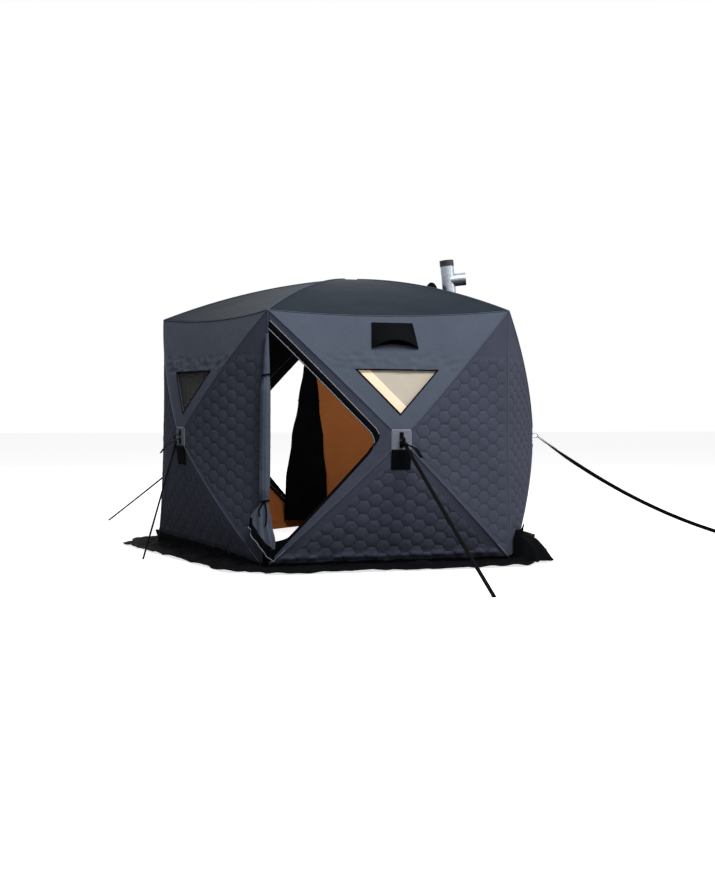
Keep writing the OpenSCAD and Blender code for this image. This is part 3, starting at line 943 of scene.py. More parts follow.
@dataclass
class Window:
    """Outline of the triangular window in the top panel of a wall."""

    width: float = 0.585
    top: float = 1.399
    foot: float = 1.093

    def corners(self, margin: float = 0.0) -> list[tuple[float, float]]:
        """Return s and z of the right, left and lower corners, a margin outside the hole.

        Args:
            margin: Distance outside the hole.

        Returns:
            s and z of each corner.
        """
        half, deep = self.width / 2, self.top - self.foot
        slant = math.hypot(half, deep)
        wide = half + margin * (slant + half) / deep
        high = self.top + margin
        return [(wide, high), (-wide, high), (0.0, self.foot - margin * slant / half)]

    def planes(self, k: int) -> list[Plane]:
        """Return the planes that cut the window out of wall k's top panel.

        Args:
            k: Number of the wall.

        Returns:
            Point and outward direction of each plane.
        """
        along = SHELTER.along(k)
        points = self.corners()
        sides = []
        for (s0, z0), (s1, z1) in zip(points, points[1:] + points[:1]):
            normal = (along * (z1 - z0) - UP * (s1 - s0)).normalized()
            sides.append((along * s0 + UP * z0, normal))
        return sides


@dataclass
class Hull:
    """The tensioned skin: four panels on each wall and five roof panels."""

    finishes: Finishes
    doorway: Doorway
    window: Window
    wall_cells: tuple[int, int] = (112, 60)
    roof_cells: tuple[int, int] = (76, 44)
    quilt_side: float = 0.056
    puff: float = 0.0045

    def hexagon(self, s: float, z: float) -> float:
        """Return 0 in the middle of a hexagon of the quilting and 1 on its seams.

        Args:
            s: Place along the wall.
            z: Height on the wall.

        Returns:
            The value from 0 to 1.
        """
        x_half, y_half = 1.5 * self.quilt_side, math.sqrt(0.75) * self.quilt_side
        cells = []
        for shift in (0.0, 1.0):
            x = (s - shift * x_half + x_half) % (2 * x_half) - x_half
            y = (z - shift * y_half + y_half) % (2 * y_half) - y_half
            cells.append((math.hypot(x, y), abs(x), abs(y)))
        _, x, y = min(cells)
        return max(y, x * math.sqrt(0.75) + y / 2) / y_half

    def quilt_mask(self, part: Part, to_side: float, to_edge: float, to_hub: float, z: float) -> float:
        """Return 1 where a panel is quilted and 0 on its plain borders.

        Args:
            part: Which panel of the wall it is.
            to_side: Distance to the nearer pole.
            to_edge: Distance to the panel's outer edge.
            to_hub: Distance to the hub patch.
            z: Height above the ice.

        Returns:
            The share of the quilting's relief.
        """
        if part is Part.TOP:
            return 0.0
        if part is Part.BOTTOM:
            inset = min(to_side - 0.062, to_edge - 0.045, to_hub - 0.03)
        else:
            inset = min(to_side - 0.022, to_edge - 0.03, to_hub - 0.02, SHELTER.seam_height - 0.012 - z)
        return smooth(inset / 0.016)

    def relief(
        self, k: int, part: Part | None, p: Vector, spans: tuple[float, float, float], bare: bool
    ) -> tuple[float, float]:
        """Return the height of the cloth's relief and its share of quilting at a point.

        Args:
            k: Number of the wall.
            part: Which panel of the wall, or None on the roof.
            p: Point on the middle of the cloth.
            spans: Distances to the nearer side, the outer edge and the hub.
            bare: Whether the panel has no quilting.

        Returns:
            The relief in metres and the quilting's share.
        """
        to_side, to_edge, to_hub = spans
        free = smooth(min(to_side, to_edge, to_hub) / 0.05)
        ridge = 0.003 * math.exp(-(to_side / 0.014) ** 2) * smooth(min(to_edge, to_hub) / 0.06)
        slack = 0.0022 * crumple(p, 0.16) * free
        if part is None:
            return ridge + slack, 0.0
        s = p.dot(SHELTER.along(k))
        mask = 0.0 if bare else self.quilt_mask(part, to_side, to_edge, to_hub, p.z)
        near = self.hexagon(s, p.z)
        plump = 1.0 + 0.35 * crumple(p, 0.09, 2)
        quilting = self.puff * plump * (1.0 - near ** 3) * mask
        rise = p.z - SHELTER.seam_height
        pucker = crumple(Vector((0.6 * s, 5.0 * k, 1.4 * p.z)), 0.05)
        groove = -0.003 * math.exp(-(rise / 0.006) ** 2) * free
        if part is Part.TOP:
            band = smooth((rise + 0.13) / 0.05) * smooth((0.03 - rise) / 0.03)
            groove += 0.011 * pucker * band * free
        if part is Part.BOTTOM:
            above = p.z - SHELTER.hem(k + 0.5 + s / SHELTER.side) - 0.035
            wrinkle = math.exp(-(above / 0.018) ** 2) * (1.0 + 1.2 * crumple(p, 0.07, 2))
            groove = 0.012 * wrinkle * smooth(to_side / 0.05)
        return ridge + slack + quilting + groove, mask

    def node_name(self, wall: Wall, part: Part) -> str:
        """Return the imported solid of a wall's panel.

        Args:
            wall: The wall.
            part: Which panel of it.

        Returns:
            The name of the solid.
        """
        if part is Part.LEFT and wall in DOORS:
            return f"{DOORS[wall]}_door_surround"
        return f"{wall.name.lower()}_wall_{part.value}"

    def build_panel(
        self, name: str, k: int, part: Part | None, holes: Sequence[Sequence[Plane]]
    ) -> None:
        """Make one panel as a closed sheet with its relief, lining and holes.

        Args:
            name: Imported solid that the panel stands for.
            k: Number of its wall.
            part: Which panel of the wall, or None on the roof.
            holes: Planes of each hole to cut.
        """
        panel = SHELTER.roof_panel(k) if part is None else SHELTER.panel(k, part)
        plain = part in (None, Part.TOP)
        bare = name.endswith("surround")
        columns, rows = self.roof_cells if part is None else self.wall_cells
        thickness = SHELTER.plain if plain else SHELTER.quilt
        bm = grid_cloth(columns, rows, lambda u, v: Vector((u, v, 0.0)))
        rise = bm.verts.layers.float.new("rise")
        share = bm.verts.layers.float.new("quilt")
        depth = (panel.point(0.5, 0.0) - panel.point(0.5, 1.0)).length
        for vert in bm.verts:
            u, v = vert.co.x, vert.co.y
            p = panel.point(u, v)
            width = (panel.point(1.0, v) - panel.point(0.0, v)).length
            spans = (min(u, 1.0 - u) * width * 0.72, v * depth, (1.0 - v) * depth)
            vert[rise], vert[share] = self.relief(k, part, p, spans, bare)
            vert.co = p
        for planes in holes:
            cut_hole(bm, planes)
        area = sheet_area(bm)
        inner = bm.faces[:]
        outer = bmesh.ops.extrude_face_region(bm, geom=inner, use_keep_orig=True)["geom"]
        raised = {item for item in outer if isinstance(item, bmesh.types.BMVert)}
        bmesh.ops.reverse_faces(bm, faces=inner)
        for vert in bm.verts:
            out = SHELTER.outward(vert.co)
            if vert in raised:
                vert.co = vert.co + out * (thickness / 2 + vert[rise])
            else:
                sunk = min(vert[rise], 0.0)
                vert.co = vert.co - out * (thickness / 2 + 0.5 * vert[rise] * vert[share] - sunk)
        for face in inner:
            low = face.calc_center_median().z < SHELTER.seam_height
            face.material_index = 1 if low and not plain and not bare else 2
        bmesh.ops.recalc_face_normals(bm, faces=bm.faces[:])
        layer = bm.loops.layers.uv.new("wall")
        along = SHELTER.along(k)
        for face in bm.faces:
            for corner in face.loops:
                corner[layer].uv = (corner.vert.co.dot(along), corner.vert.co.z)
        bm.verts.layers.float.remove(rise)
        f = self.finishes
        cloth, slot = (f.roof, "roof_fabric") if part is None else (
            (f.plain, "plain_fabric") if plain else (f.quilt, "quilted_fabric"))
        piece = finish_piece(f"{name}_cloth", bm, [cloth, f.lining, f.backing], slot, [name])

    def build(self) -> None:
        """Make all wall and roof panels."""
        for wall in Wall:
            for part in Part:
                holes = [self.window.planes(wall)] if part is Part.TOP else []
                if part is Part.LEFT and wall in DOORS:
                    holes = [self.doorway.planes(wall)]
                self.build_panel(self.node_name(wall, part), wall, part, holes)
            holes = [Chimney.ring(Chimney.hole_radius)] if wall is Wall.RIGHT else []
            self.build_panel(f"{wall.name.lower()}_roof", wall, None, holes)


@dataclass
class Chimney:
    """The flue through the right roof panel and the stove jack round it."""

    finishes: Finishes
    jack: float = 0.36
    flue_radius: float = 0.052
    flap_length: float = 0.28
    flap_radius: float = 0.048
    flap_place: float = -0.175
    hole_radius: ClassVar[float] = 0.092
    offset: ClassVar[float] = 0.83
    lean: ClassVar[float] = 5.8

    @staticmethod
    def axis() -> tuple[Vector, Vector]:
        """Return a point on the flue's axis and the direction up it.

        Returns:
            The point and the direction.
        """
        out = SHELTER.facing(Wall.RIGHT)
        lean = math.radians(Chimney.lean)
        middle = out * Chimney.offset + UP * (SHELTER.eave + SHELTER.rise / 2)
        return middle, UP * math.cos(lean) - out * math.sin(lean)

    @staticmethod
    def ring(radius: float) -> list[Plane]:
        """Return planes round the flue's axis at a radius.

        Args:
            radius: Distance of the planes from the axis.

        Returns:
            Point and outward direction of each plane.
        """
        middle, up = Chimney.axis()
        across = up.cross(SHELTER.along(Wall.RIGHT)).normalized()
        other = up.cross(across)
        sides = []
        for i in range(20):
            turn = math.tau * i / 20
            out = across * math.cos(turn) + other * math.sin(turn)
            sides.append((middle + out * radius, out))
        return sides

    def on_roof(self, across: float, out: float, lift: float) -> Vector:
        """Return a point above the right roof panel, from the flue's place on it.

        Args:
            across: Distance along the eave.
            out: Distance towards the eave.
            lift: Height above the cloth.

        Returns:
            The point.
        """
        s = SHELTER
        far = self.offset + out
        v = (s.apothem - s.eave_draw - far) / (s.apothem - s.eave_draw - s.cap * math.cos(math.pi / 5))
        u = 0.5 + across / mix(s.side, 2 * s.cap * math.sin(math.pi / 5), v)
        p = s.roof_panel(Wall.RIGHT).point(u, v)
        return p + s.outward(p) * lift

    def build_jack(self) -> None:
        """Make the square of heatproof cloth round the flue."""

        def place(u: float, v: float) -> Vector:
            """Return a point of the square of cloth.

            Args:
                u: Share along it, from 0 to 1.
                v: Share across it, from 0 to 1.

            Returns:
                The point.
            """
            across, out = (u - 0.5) * self.jack, (v - 0.5) * self.jack
            rim = rim_ease(across, out, self.jack / 2, 0.02)
            p = self.on_roof(across, -out, 0.0035)
            return p + SHELTER.outward(p) * (0.002 + 0.003 * rim * (1.0 + crumple(p, 0.07)))

        bm = grid_cloth(36, 36, place)
        cut_hole(bm, Chimney.ring(self.flue_radius + 0.0012))
        piece, area = make_sheet(
            "stove_jack_cloth", bm, 0.002, [self.finishes.black], "black_fabric", ["stove_jack"])

    def build_flap(self) -> None:
        """Make the rolled cover flap above the flue."""
        out = SHELTER.facing(Wall.RIGHT)

        def place(u: float, v: float) -> Vector:
            """Return a point of the roll.

            Args:
                u: Share round it, from 0 to 1.
                v: Share along it, from 0 to 1.

            Returns:
                The point.
            """
            turn = math.tau * u
            wound = 0.12 * (0.5 + 0.5 * math.sin(3 * turn + 9.0 * v))
            radius = self.flap_radius * (1.0 - wound - 0.12 * bow(v) * math.cos(2 * turn))
            middle = self.on_roof((v - 0.5) * self.flap_length, self.flap_place, 0.006 + self.flap_radius)
            return middle + (out * math.cos(turn) + UP * math.sin(turn)) * radius

        bm = grid_cloth(24, 30, place)
        close_tube(bm)
        piece = finish_piece("jack_flap_roll", bm, [self.finishes.black], "black_fabric")

    def build(self) -> None:
        """Make the cloth round the flue and finish the flue itself."""
        self.build_jack()
        self.build_flap()
        dress("flue_pipe", self.finishes.flue)
        dress("flue_tee", self.finishes.flue)
        dress("flue_collar", self.finishes.collar)


def dress(node: str, material: bpy.types.Material) -> None:
    """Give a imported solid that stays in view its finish.

    Args:
        node: Name of the solid.
        material: Its finish.
    """
    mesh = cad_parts[node].data
    mesh.materials.clear()
    mesh.materials.append(material)
    LOG.info("%s: finished as %s", node, material.name)


@dataclass
class Skeleton:
    """Hubs, poles and corner joints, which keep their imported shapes."""

    finishes: Finishes

    def build(self) -> None:
        """Finish the hard parts of the frame."""
        for node in ("wall_hubs", "roof_hub", "top_corner_joints", "base_corner_joints"):
            dress(node, self.finishes.hub)
        for node in ("wall_poles", "roof_poles"):
            dress(node, self.finishes.pole)


@dataclass
class Seams:
    """Corded seams along the poles, corners, eaves and ridges."""

    finishes: Finishes
    radius: float = 0.0042
    steps: int = 26
    foot: tuple[float, float] = (0.06, 0.16)

    def line(self, point: Callable[[float], Vector], lift: float) -> list[Vector]:
        """Return points along a seam, lifted off the middle of the cloth."""
        return [p + SHELTER.outward(p) * lift for p in map(point, shares(self.steps))]

    def build(self) -> None:
        """Make the cords of all seams and the pale piping at the feet of the corners, whose pale colour is a
        painted highlight.
        """
        thick, thin = SHELTER.quilt / 2, SHELTER.plain / 2
        paths, feet = [], []
        for k in Wall:
            top, left, bottom = (SHELTER.panel(k, part) for part in (Part.TOP, Part.LEFT, Part.BOTTOM))
            roof = SHELTER.roof_panel(k)
            for u in (0.0, 1.0):
                paths += [self.line(lambda t: panel.point(u, t), thick + 0.002) for panel in (top, bottom)]
                feet.append([bottom.point(u, mix(*self.foot, t)) for t in shares(8)])
            paths.append(self.line(lambda t: left.point(t, 0.0), thick + 0.001))
            paths.append(self.line(lambda t: top.point(t, 0.0), thin + 0.001))
            paths.append(self.line(lambda t: roof.point(0.0, t), thin + 0.002))
        make_cords("seam_piping", [(paths, self.radius, False)], self.finishes.plain, "plain_fabric")
        lift = thick + self.radius + 0.002
        feet = [[p + SHELTER.outward(p) * lift for p in foot] for foot in feet]
        # Piping at the feet of the corners, coloured pale as a painted highlight where the poles' sleeves
        # catch the light
        make_cords(
            "corner_foot_piping", [(feet, self.radius * 0.6, False)], self.finishes.piping, "patch_fabric")


@dataclass
class Glazing:
    """Clear window film with a bound edge on every wall, a cream blind behind the front window and a dark
    sheet of painted shade behind the left one.
    """

    finishes: Finishes
    window: Window
    cells: int = 14
    border: float = 0.007
    lap: float = 0.03
    band: float = 0.1
    blind_flat: tuple[float, float] = (0.75, 0.42)
    film_flat: tuple[float, float] = (0.6, 5 * 0.32)

    def triangle(self, margin: float) -> Mesh:
        """Return the window's outline as one face in the wall's own plane.

        Args:
            margin: Distance outside the hole.

        Returns:
            The face as a new mesh.
        """
        bm = bmesh.new()
        bm.faces.new([bm.verts.new((s, z, 0.0)) for s, z in self.window.corners(margin)])
        return bm

    def settle(self, bm: Mesh, k: int, lift: float, wave: float) -> None:
        """Move a flat shape on to wall k, waving a little.

        Args:
            bm: The flat shape.
            k: Number of the wall.
            lift: Height above the wall's cloth.
            wave: Height of the waves.
        """
        for vert in bm.verts:
            s, z = vert.co.x, vert.co.y
            p = SHELTER.spot(k, Part.TOP, s, z, lift)
            vert.co = p + SHELTER.outward(p) * (wave * crumple(p, 0.2, 2))
        face_out(bm, k)

    def build_blind(self, wall: Wall, band: bpy.types.Material, rest: bpy.types.Material) -> None:
        """Make a thin cloth sheet behind a window: the front blind, and the dark sheet of painted shade
        behind the left window.

        Args:
            wall: Wall of the window.
            band: Cloth of the band along its left edge.
            rest: Cloth of the remainder.
        """
        blind = self.triangle(self.lap)
        bmesh.ops.subdivide_edges(blind, edges=blind.edges[:], cuts=40, use_grid_fill=True)
        slope = self.window.width / 2 / (self.window.top - self.window.foot)
        for face in blind.faces:
            spot = face.calc_center_median()
            left = -slope * (spot.y - self.window.foot)
            face.material_index = 1 if spot.x - left < self.band else 0
        self.settle(blind, wall, -SHELTER.plain / 2 - 0.012, 0.004)
        name = wall.name.lower()
        piece, area = make_sheet(f"{name}_window_blind", blind, 0.001, [rest, band], "patch_fabric")

    def build(self) -> None:
        """Make the five panes and their bindings, the front blind, and the dark sheet of painted shade behind
        the left window.
        """
        panes, bindings = bmesh.new(), bmesh.new()
        area = 0.0
        for k in Wall:
            pane = self.triangle(0.004)
            bmesh.ops.subdivide_edges(pane, edges=pane.edges[:], cuts=self.cells, use_grid_fill=True)
            self.settle(pane, k, 0.0, 0.003)
            area += sheet_area(pane)
            add_thickness(pane, 0.0015)
            # Black binding round each pane; its black also paints the shade in the gap at the film's edge
            binding = self.triangle(self.border)
            middle = binding.faces[:]
            binding.normal_update()
            bmesh.ops.inset_region(
                binding, faces=middle, thickness=self.border + 0.002, use_boundary=True, use_even_offset=True)
            bmesh.ops.delete(binding, geom=middle, context="FACES_ONLY")
            longer = [edge for edge in binding.edges if edge.calc_length() > 0.1]
            bmesh.ops.subdivide_edges(binding, edges=longer, cuts=18, use_grid_fill=True)
            self.settle(binding, k, SHELTER.plain / 2 + 0.004, 0.0)
            add_thickness(binding, 0.003)
            join(panes, pane)
            join(bindings, binding)
        self.build_blind(Wall.FRONT, self.finishes.cream, self.finishes.beige)
        # Painted shade: a charcoal sheet behind the left window stands for the dark inside
        self.build_blind(Wall.LEFT, self.finishes.painted_shade_sheet, self.finishes.painted_shade_sheet)
        film = finish_piece("window_film", panes, [self.finishes.film], "window_film", ["windows"])
        finish_piece("window_bindings", bindings, [self.finishes.black], "black_fabric")


@dataclass
class Doors:
    """Doorway trims, the door rolled up at the front and the one that hangs at the rear."""

    finishes: Finishes
    doorway: Doorway
    flap_width: float = 0.047
    tape_width: float = 0.026
    # Width of the black widening at the tape's foot: painted shade over the floor inside
    painted_shade_width: float = 0.07
    trim_lift: float = SHELTER.quilt / 2 + 0.007
    zip_radius: float = 0.0032
    roll_heights: tuple[float, ...] = (0.10, 0.20, 0.34, 0.48, 0.57, 0.84, 1.24, 1.36, 1.41, 1.647)
    roll_depths: tuple[float, ...] = (0.044, 0.048, 0.044, 0.028, 0.040, 0.040, 0.040, 0.028, 0.026, 0.014)
    roll_widths: tuple[float, ...] = (0.112, 0.118, 0.086, 0.028, 0.040, 0.040, 0.040, 0.028, 0.026, 0.014)
    tie_heights: tuple[float, ...] = (0.48, 1.36)
    hem_height: float = 0.185
    hem_slant: float = 0.12
    hem_share: float = 0.055
    hem_shift: float = 0.022
    hang_tie: float = 1.2
    hang_heights: tuple[float, ...] = (0.20, 0.42, 0.81, 1.19, 1.50, 1.61)
    hang_depths: tuple[float, ...] = (0.060, 0.060, 0.056, 0.050, 0.040, 0.024)
    hang_widths: tuple[float, ...] = (0.205, 0.2, 0.155, 0.100, 0.062, 0.026)
    hang_gaps: tuple[float, ...] = (0.130, 0.130, 0.090, 0.050, 0.030, 0.024)
    hang_shifts: tuple[float, ...] = (0.060, 0.060, 0.044, 0.022, 0.006, 0.0)

    def outline(self, k: int, start: float, end: float, margin: float, steps: int) -> list[Vector]:
        """Return points above a doorway's edge on wall k, a margin outside it."""
        edge = [self.doorway.edge(mix(start, end, t), margin) for t in shares(steps)]
        return [SHELTER.spot(k, Part.LEFT, s, z, self.trim_lift) for s, z in edge]

    def build_trim(self, name: str, k: int) -> None:
        """Make the storm flap, the zips, the tape and the foot binding of one doorway.

        Args:
            name: Name of the doorway.
            k: Number of the wall.
        """
        black, rests_on = [self.finishes.black], [f"{name}_door_surround_cloth"]

        def flap(u: float, v: float) -> Vector:
            """Return a point of the storm flap.

            Args:
                u: Share along it, from 0 to 1.
                v: Share across it, from 0 to 1.

            Returns:
                The point.
            """
            t = mix(0.47, 0.995 + 0.02 * v, u)
            s, z = self.doorway.edge(t, 0.004 + v * self.flap_width * smooth((t - 0.47) / 0.08))
            p = SHELTER.spot(k, Part.LEFT, s, z)
            return p + SHELTER.outward(p) * (self.trim_lift + (0.004 + 0.002 * crumple(p, 0.06)) * bow(v))

        def tape(u: float, v: float) -> Vector:
            """Return a point of the tape, which widens at its foot into black painted shade over the floor
            inside the doorway.

            Args:
                u: Share along it, from 0 to 1.
                v: Share across it, from 0 to 1.

            Returns:
                The point.
            """
            t = mix(-0.05, 0.5, u)
            # Painted shade: the black tape widens at its foot to hide the bright floor inside the doorway
            painted_shade_width = self.painted_shade_width * smooth((0.09 - t) / 0.06)
            inner = self.tape_width * smooth((0.53 - t) / 0.1) + painted_shade_width
            s, z = self.doorway.edge(t, 0.006 - v * inner)
            return SHELTER.spot(k, Part.LEFT, max(s, -SHELTER.side / 2), max(z, 0.03))

        bm = grid_cloth(70, 8, flap)
        area = sheet_area(bm)
        face_out(bm, k)
        piece, _ = make_sheet(f"{name}_storm_flap", bm, 0.002, black, "black_fabric")
        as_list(rests_on)
        zips = [self.outline(k, 0.5, 0.997, 0.004, 60),
                self.outline(k, 0.55, 1.012, self.flap_width + 0.002, 40)]
        make_cords(f"{name}_door_zip", [(zips, self.zip_radius, False)], self.finishes.piping, "patch_fabric")
        piece, area = make_sheet(f"{name}_door_tape", grid_cloth(60, 4, tape), 0.003, black, "black_fabric")
        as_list(rests_on)
        foot = [SHELTER.seam(k, mix(0.024, 0.132, t)) for t in shares(6)]
        make_cords(f"{name}_door_foot_binding", [([foot], 0.022, False)], self.finishes.black, "black_fabric")

    def section(
        self, k: int, side: int, z: float, turn: float, sizes: tuple[float, float, float], fold: float
    ) -> Vector:
        """Return a point of a gathered door.

        Args:
            k: Corner that it is gathered at.
            side: 1 outside the corner seam or -1 inside it.
            z: Height above the ice.
            turn: Angle round the gathered door, in radians.
            sizes: Its half depth, half width and gap from the seam there.
            fold: Share of the full radius at this angle.

        Returns:
            The point, in the row frame.
        """
        depth, width, gap = sizes
        out = SHELTER.radial(k)
        across = UP.cross(out)
        middle = SHELTER.seam(k, z) + out * side * (depth + gap + SHELTER.quilt / 2)
        return middle + (out * depth * math.cos(turn) + across * width * math.sin(turn)) * fold

    def roll_sizes(self, z: float) -> tuple[float, float, float]:
        """Return the half depth, half width and gap of the front roll at a height."""
        depth = lookup(z, self.roll_heights, self.roll_depths)
        return depth, lookup(z, self.roll_heights, self.roll_widths), 0.0

    def roll_point(self, u: float, v: float) -> Vector:
        """Return a point of the front roll, u round it and v up from its slanting hem.

        Args:
            u: Share round it, from 0 to 1.
            v: Share of its height, from 0 to 1.

        Returns:
            The point.
        """
        turn = math.tau * u
        z = mix(self.hem_height - self.hem_slant * math.sin(turn), self.roll_heights[-1], v)
        loose = smooth((0.5 - z) / 0.14)
        tied = sum(math.exp(-((z - tie) / 0.045) ** 2) for tie in self.tie_heights)
        pleat = 0.5 + 0.5 * math.sin(9 * turn + 5.0 * z + 2.0 * math.sin(3.0 * z))
        roll = 0.5 + 0.5 * math.sin(2 * turn + 2.6 * z)
        fold = 1.0 - (0.06 + 0.16 * loose + 0.08 * tied) * pleat - 0.1 * roll * (1.0 - loose)
        p = self.section(Wall.FRONT, 1, z, turn, self.roll_sizes(z), fold)
        out = SHELTER.radial(Wall.FRONT)
        return p + out * (0.003 * crumple(p, 0.08)) - UP.cross(out) * (self.hem_shift * loose)

    def build_roll(self) -> None:
        """Make the front door, rolled up beside its corner, with a black hem below its knot."""
        bm = grid_cloth(72, 150, lambda u, v: Vector((u, v, 0.0)))
        for face in bm.faces:
            face.material_index = 1 if face.calc_center_median().y < self.hem_share else 0
        for vert in bm.verts:
            vert.co = self.roll_point(vert.co.x, vert.co.y)
        close_tube(bm)
        piece = finish_piece(
            "front_door_rolled", bm, [self.finishes.plain, self.finishes.black], "door_fabric",
            ["front_door_roll"])
        hem = [self.roll_point(t, 0.0) for t in shares(60)[:-1]]
        make_cords(
            "front_door_hem_piping", [([hem], self.zip_radius, True)], self.finishes.piping, "patch_fabric")
        ties = []
        for z in self.tie_heights:
            sizes = self.roll_sizes(z)
            turns = [math.tau * t for t in shares(28)[:-1]]
            ties.append([
                self.section(Wall.FRONT, 1, z + 0.005 * math.sin(turn), turn, sizes, 1.05) for turn in turns])
        low = self.tie_heights[0]
        knot = self.section(Wall.FRONT, 1, low, 0.35, self.roll_sizes(low), 1.1)
        out = SHELTER.radial(Wall.FRONT)
        across = UP.cross(out)
        tails = [
            [knot + across * side * 0.03 * math.sin(2.4 * t) + out * 0.03 * smooth(1.5 * t) - UP * length * t
             for t in shares(12)]
            for side, length in ((-1, 0.1), (1, 0.17))]
        make_cords(
            "door_ties", [(ties, 0.006, True), (tails, 0.005, False)], self.finishes.black, "black_fabric")

    def hang_sizes(self, z: float) -> tuple[float, float, float]:
        """Return the half depth, half width and gap of the rear door at a height."""
        rows = (self.hang_depths, self.hang_widths, self.hang_gaps)
        return tuple(lookup(z, self.hang_heights, row) for row in rows)

    def build_hanging(self) -> None:
        """Make the rear door, which hangs in folds inside its corner."""
        k = Wall.REAR_LEFT
        out = SHELTER.radial(k)
        across = UP.cross(out)

        def place(u: float, v: float) -> Vector:
            """Return a point of the gathered door.

            Args:
                u: Share round it, from 0 to 1.
                v: Share of its height, from 0 to 1.

            Returns:
                The point.
            """
            z = mix(0.08, 1.62, v)
            turn = math.tau * u
            pleat = 0.5 + 0.5 * math.sin(11 * turn + 3.0 * z + 1.5 * math.sin(4.0 * z))
            fold = 1.0 - (0.10 + 0.22 * smooth((1.2 - z) / 0.5)) * pleat
            p = self.section(k, -1, z, turn, self.hang_sizes(z), fold)
            p += across * lookup(z, self.hang_heights, self.hang_shifts)
            return p + out * (0.012 * crumple(p, 0.12) * smooth((1.5 - z) / 0.4))

        bm = grid_cloth(80, 70, place)
        close_tube(bm)
        # Painted shade: the rear door is made in the black cloth, for the shade in the corner where it hangs
        piece = finish_piece(
            "rear_door_hanging", bm, [self.finishes.black], "door_fabric", ["rear_door_roll"])
        z = self.hang_tie
        ring = [self.section(k, -1, z, math.tau * t, self.hang_sizes(z), 1.02) + across * 0.022
                for t in shares(28)[:-1]]
        seam = SHELTER.seam(k, z) - out * 0.002
        make_cords(
            "rear_door_tie", [([ring], 0.005, True), ([[seam, seam - out * 0.058]], 0.005, False)],
            self.finishes.black, "black_fabric")

    def build(self) -> None:
        """Make both doors and their trims."""
        for k, name in DOORS.items():
            self.build_trim(name, k)
        self.build_roll()
        self.build_hanging()


@dataclass
class Patches:
    """Reinforcing patches over the hubs and the cap on the roof."""

    finishes: Finishes
    overlap: float = 0.006
    anchor: float = 0.142
    anchor_height: float = 0.772
    cap_rim: float = 0.012
    cap_flat: float = 0.18

    def build_wall_patches(self) -> None:
        """Make the pale patch over each wall hub and the black one below it."""
        pale, dark = bmesh.new(), bmesh.new()
        pale_area = dark_area = 0.0
        size = SHELTER.patch + 2 * self.overlap
        for k in Wall:
            along, facing = SHELTER.along(k), SHELTER.facing(k)
            middle = facing * (SHELTER.apothem + SHELTER.hub_reach) + UP * SHELTER.hub_height

            def place(u: float, v: float) -> Vector:
                """Return a point of the pale patch.

                Args:
                    u: Share along it, from 0 to 1.
                    v: Share across it, from 0 to 1.

                Returns:
                    The point.
                """
                x, y = u - 0.5, v - 0.5
                rim = rim_ease(x, y, 0.5, 0.06)
                p = middle + along * x * size + UP * y * size
                return p + facing * (0.0055 + 0.003 * rim + 0.0015 * crumple(p, 0.04) * rim)

            def place_dark(u: float, v: float) -> Vector:
                """Return a point of the black patch.

                Args:
                    u: Share along it, from 0 to 1.
                    v: Share across it, from 0 to 1.

                Returns:
                    The point.
                """
                x, y = u - 0.5, v - 0.5
                p = SHELTER.spot(k, Part.BOTTOM, x * self.anchor, self.anchor_height + y * self.anchor)
                return p + SHELTER.outward(p) * (0.012 + 0.002 * rim_ease(x, y, 0.5, 0.06))

            bm = grid_cloth(18, 18, place)
            pale_area += sheet_area(bm)
            add_thickness(bm, 0.007)
            join(pale, bm)
            bm = grid_cloth(14, 14, place_dark)
            dark_area += sheet_area(bm)
            add_thickness(bm, 0.003)
            join(dark, bm)
        piece = finish_piece("hub_patch_cloth", pale, [self.finishes.patch], "patch_fabric", ["hub_patches"])
        piece = finish_piece("anchor_patches", dark, [self.finishes.black], "black_fabric")

    def build_cap(self) -> None:
        """Make the five-sided cap on the roof hub."""
        bm = bmesh.new()
        radius = SHELTER.cap + self.cap_rim
        bmesh.ops.create_circle(bm, cap_ends=True, cap_tris=False, segments=len(Wall), radius=radius)
        turn = Matrix.Rotation(math.radians(-216.0), 3, "Z")
        bmesh.ops.rotate(bm, verts=bm.verts[:], cent=(0, 0, 0), matrix=turn)
        bmesh.ops.inset_region(bm, faces=bm.faces[:], thickness=self.cap_rim, use_boundary=True)
        for vert in bm.verts:
            vert.co.z = SHELTER.peak + 0.0055 - 0.004 * vert.co.to_2d().length / radius
        piece, area = make_sheet(
            "roof_cap_cloth", bm, 0.003, [self.finishes.black], "black_fabric", ["roof_cap"])
        min(area, self.cap_flat ** 2)

    def build(self) -> None:
        """Make all patches."""
        self.build_wall_patches()
        self.build_cap()


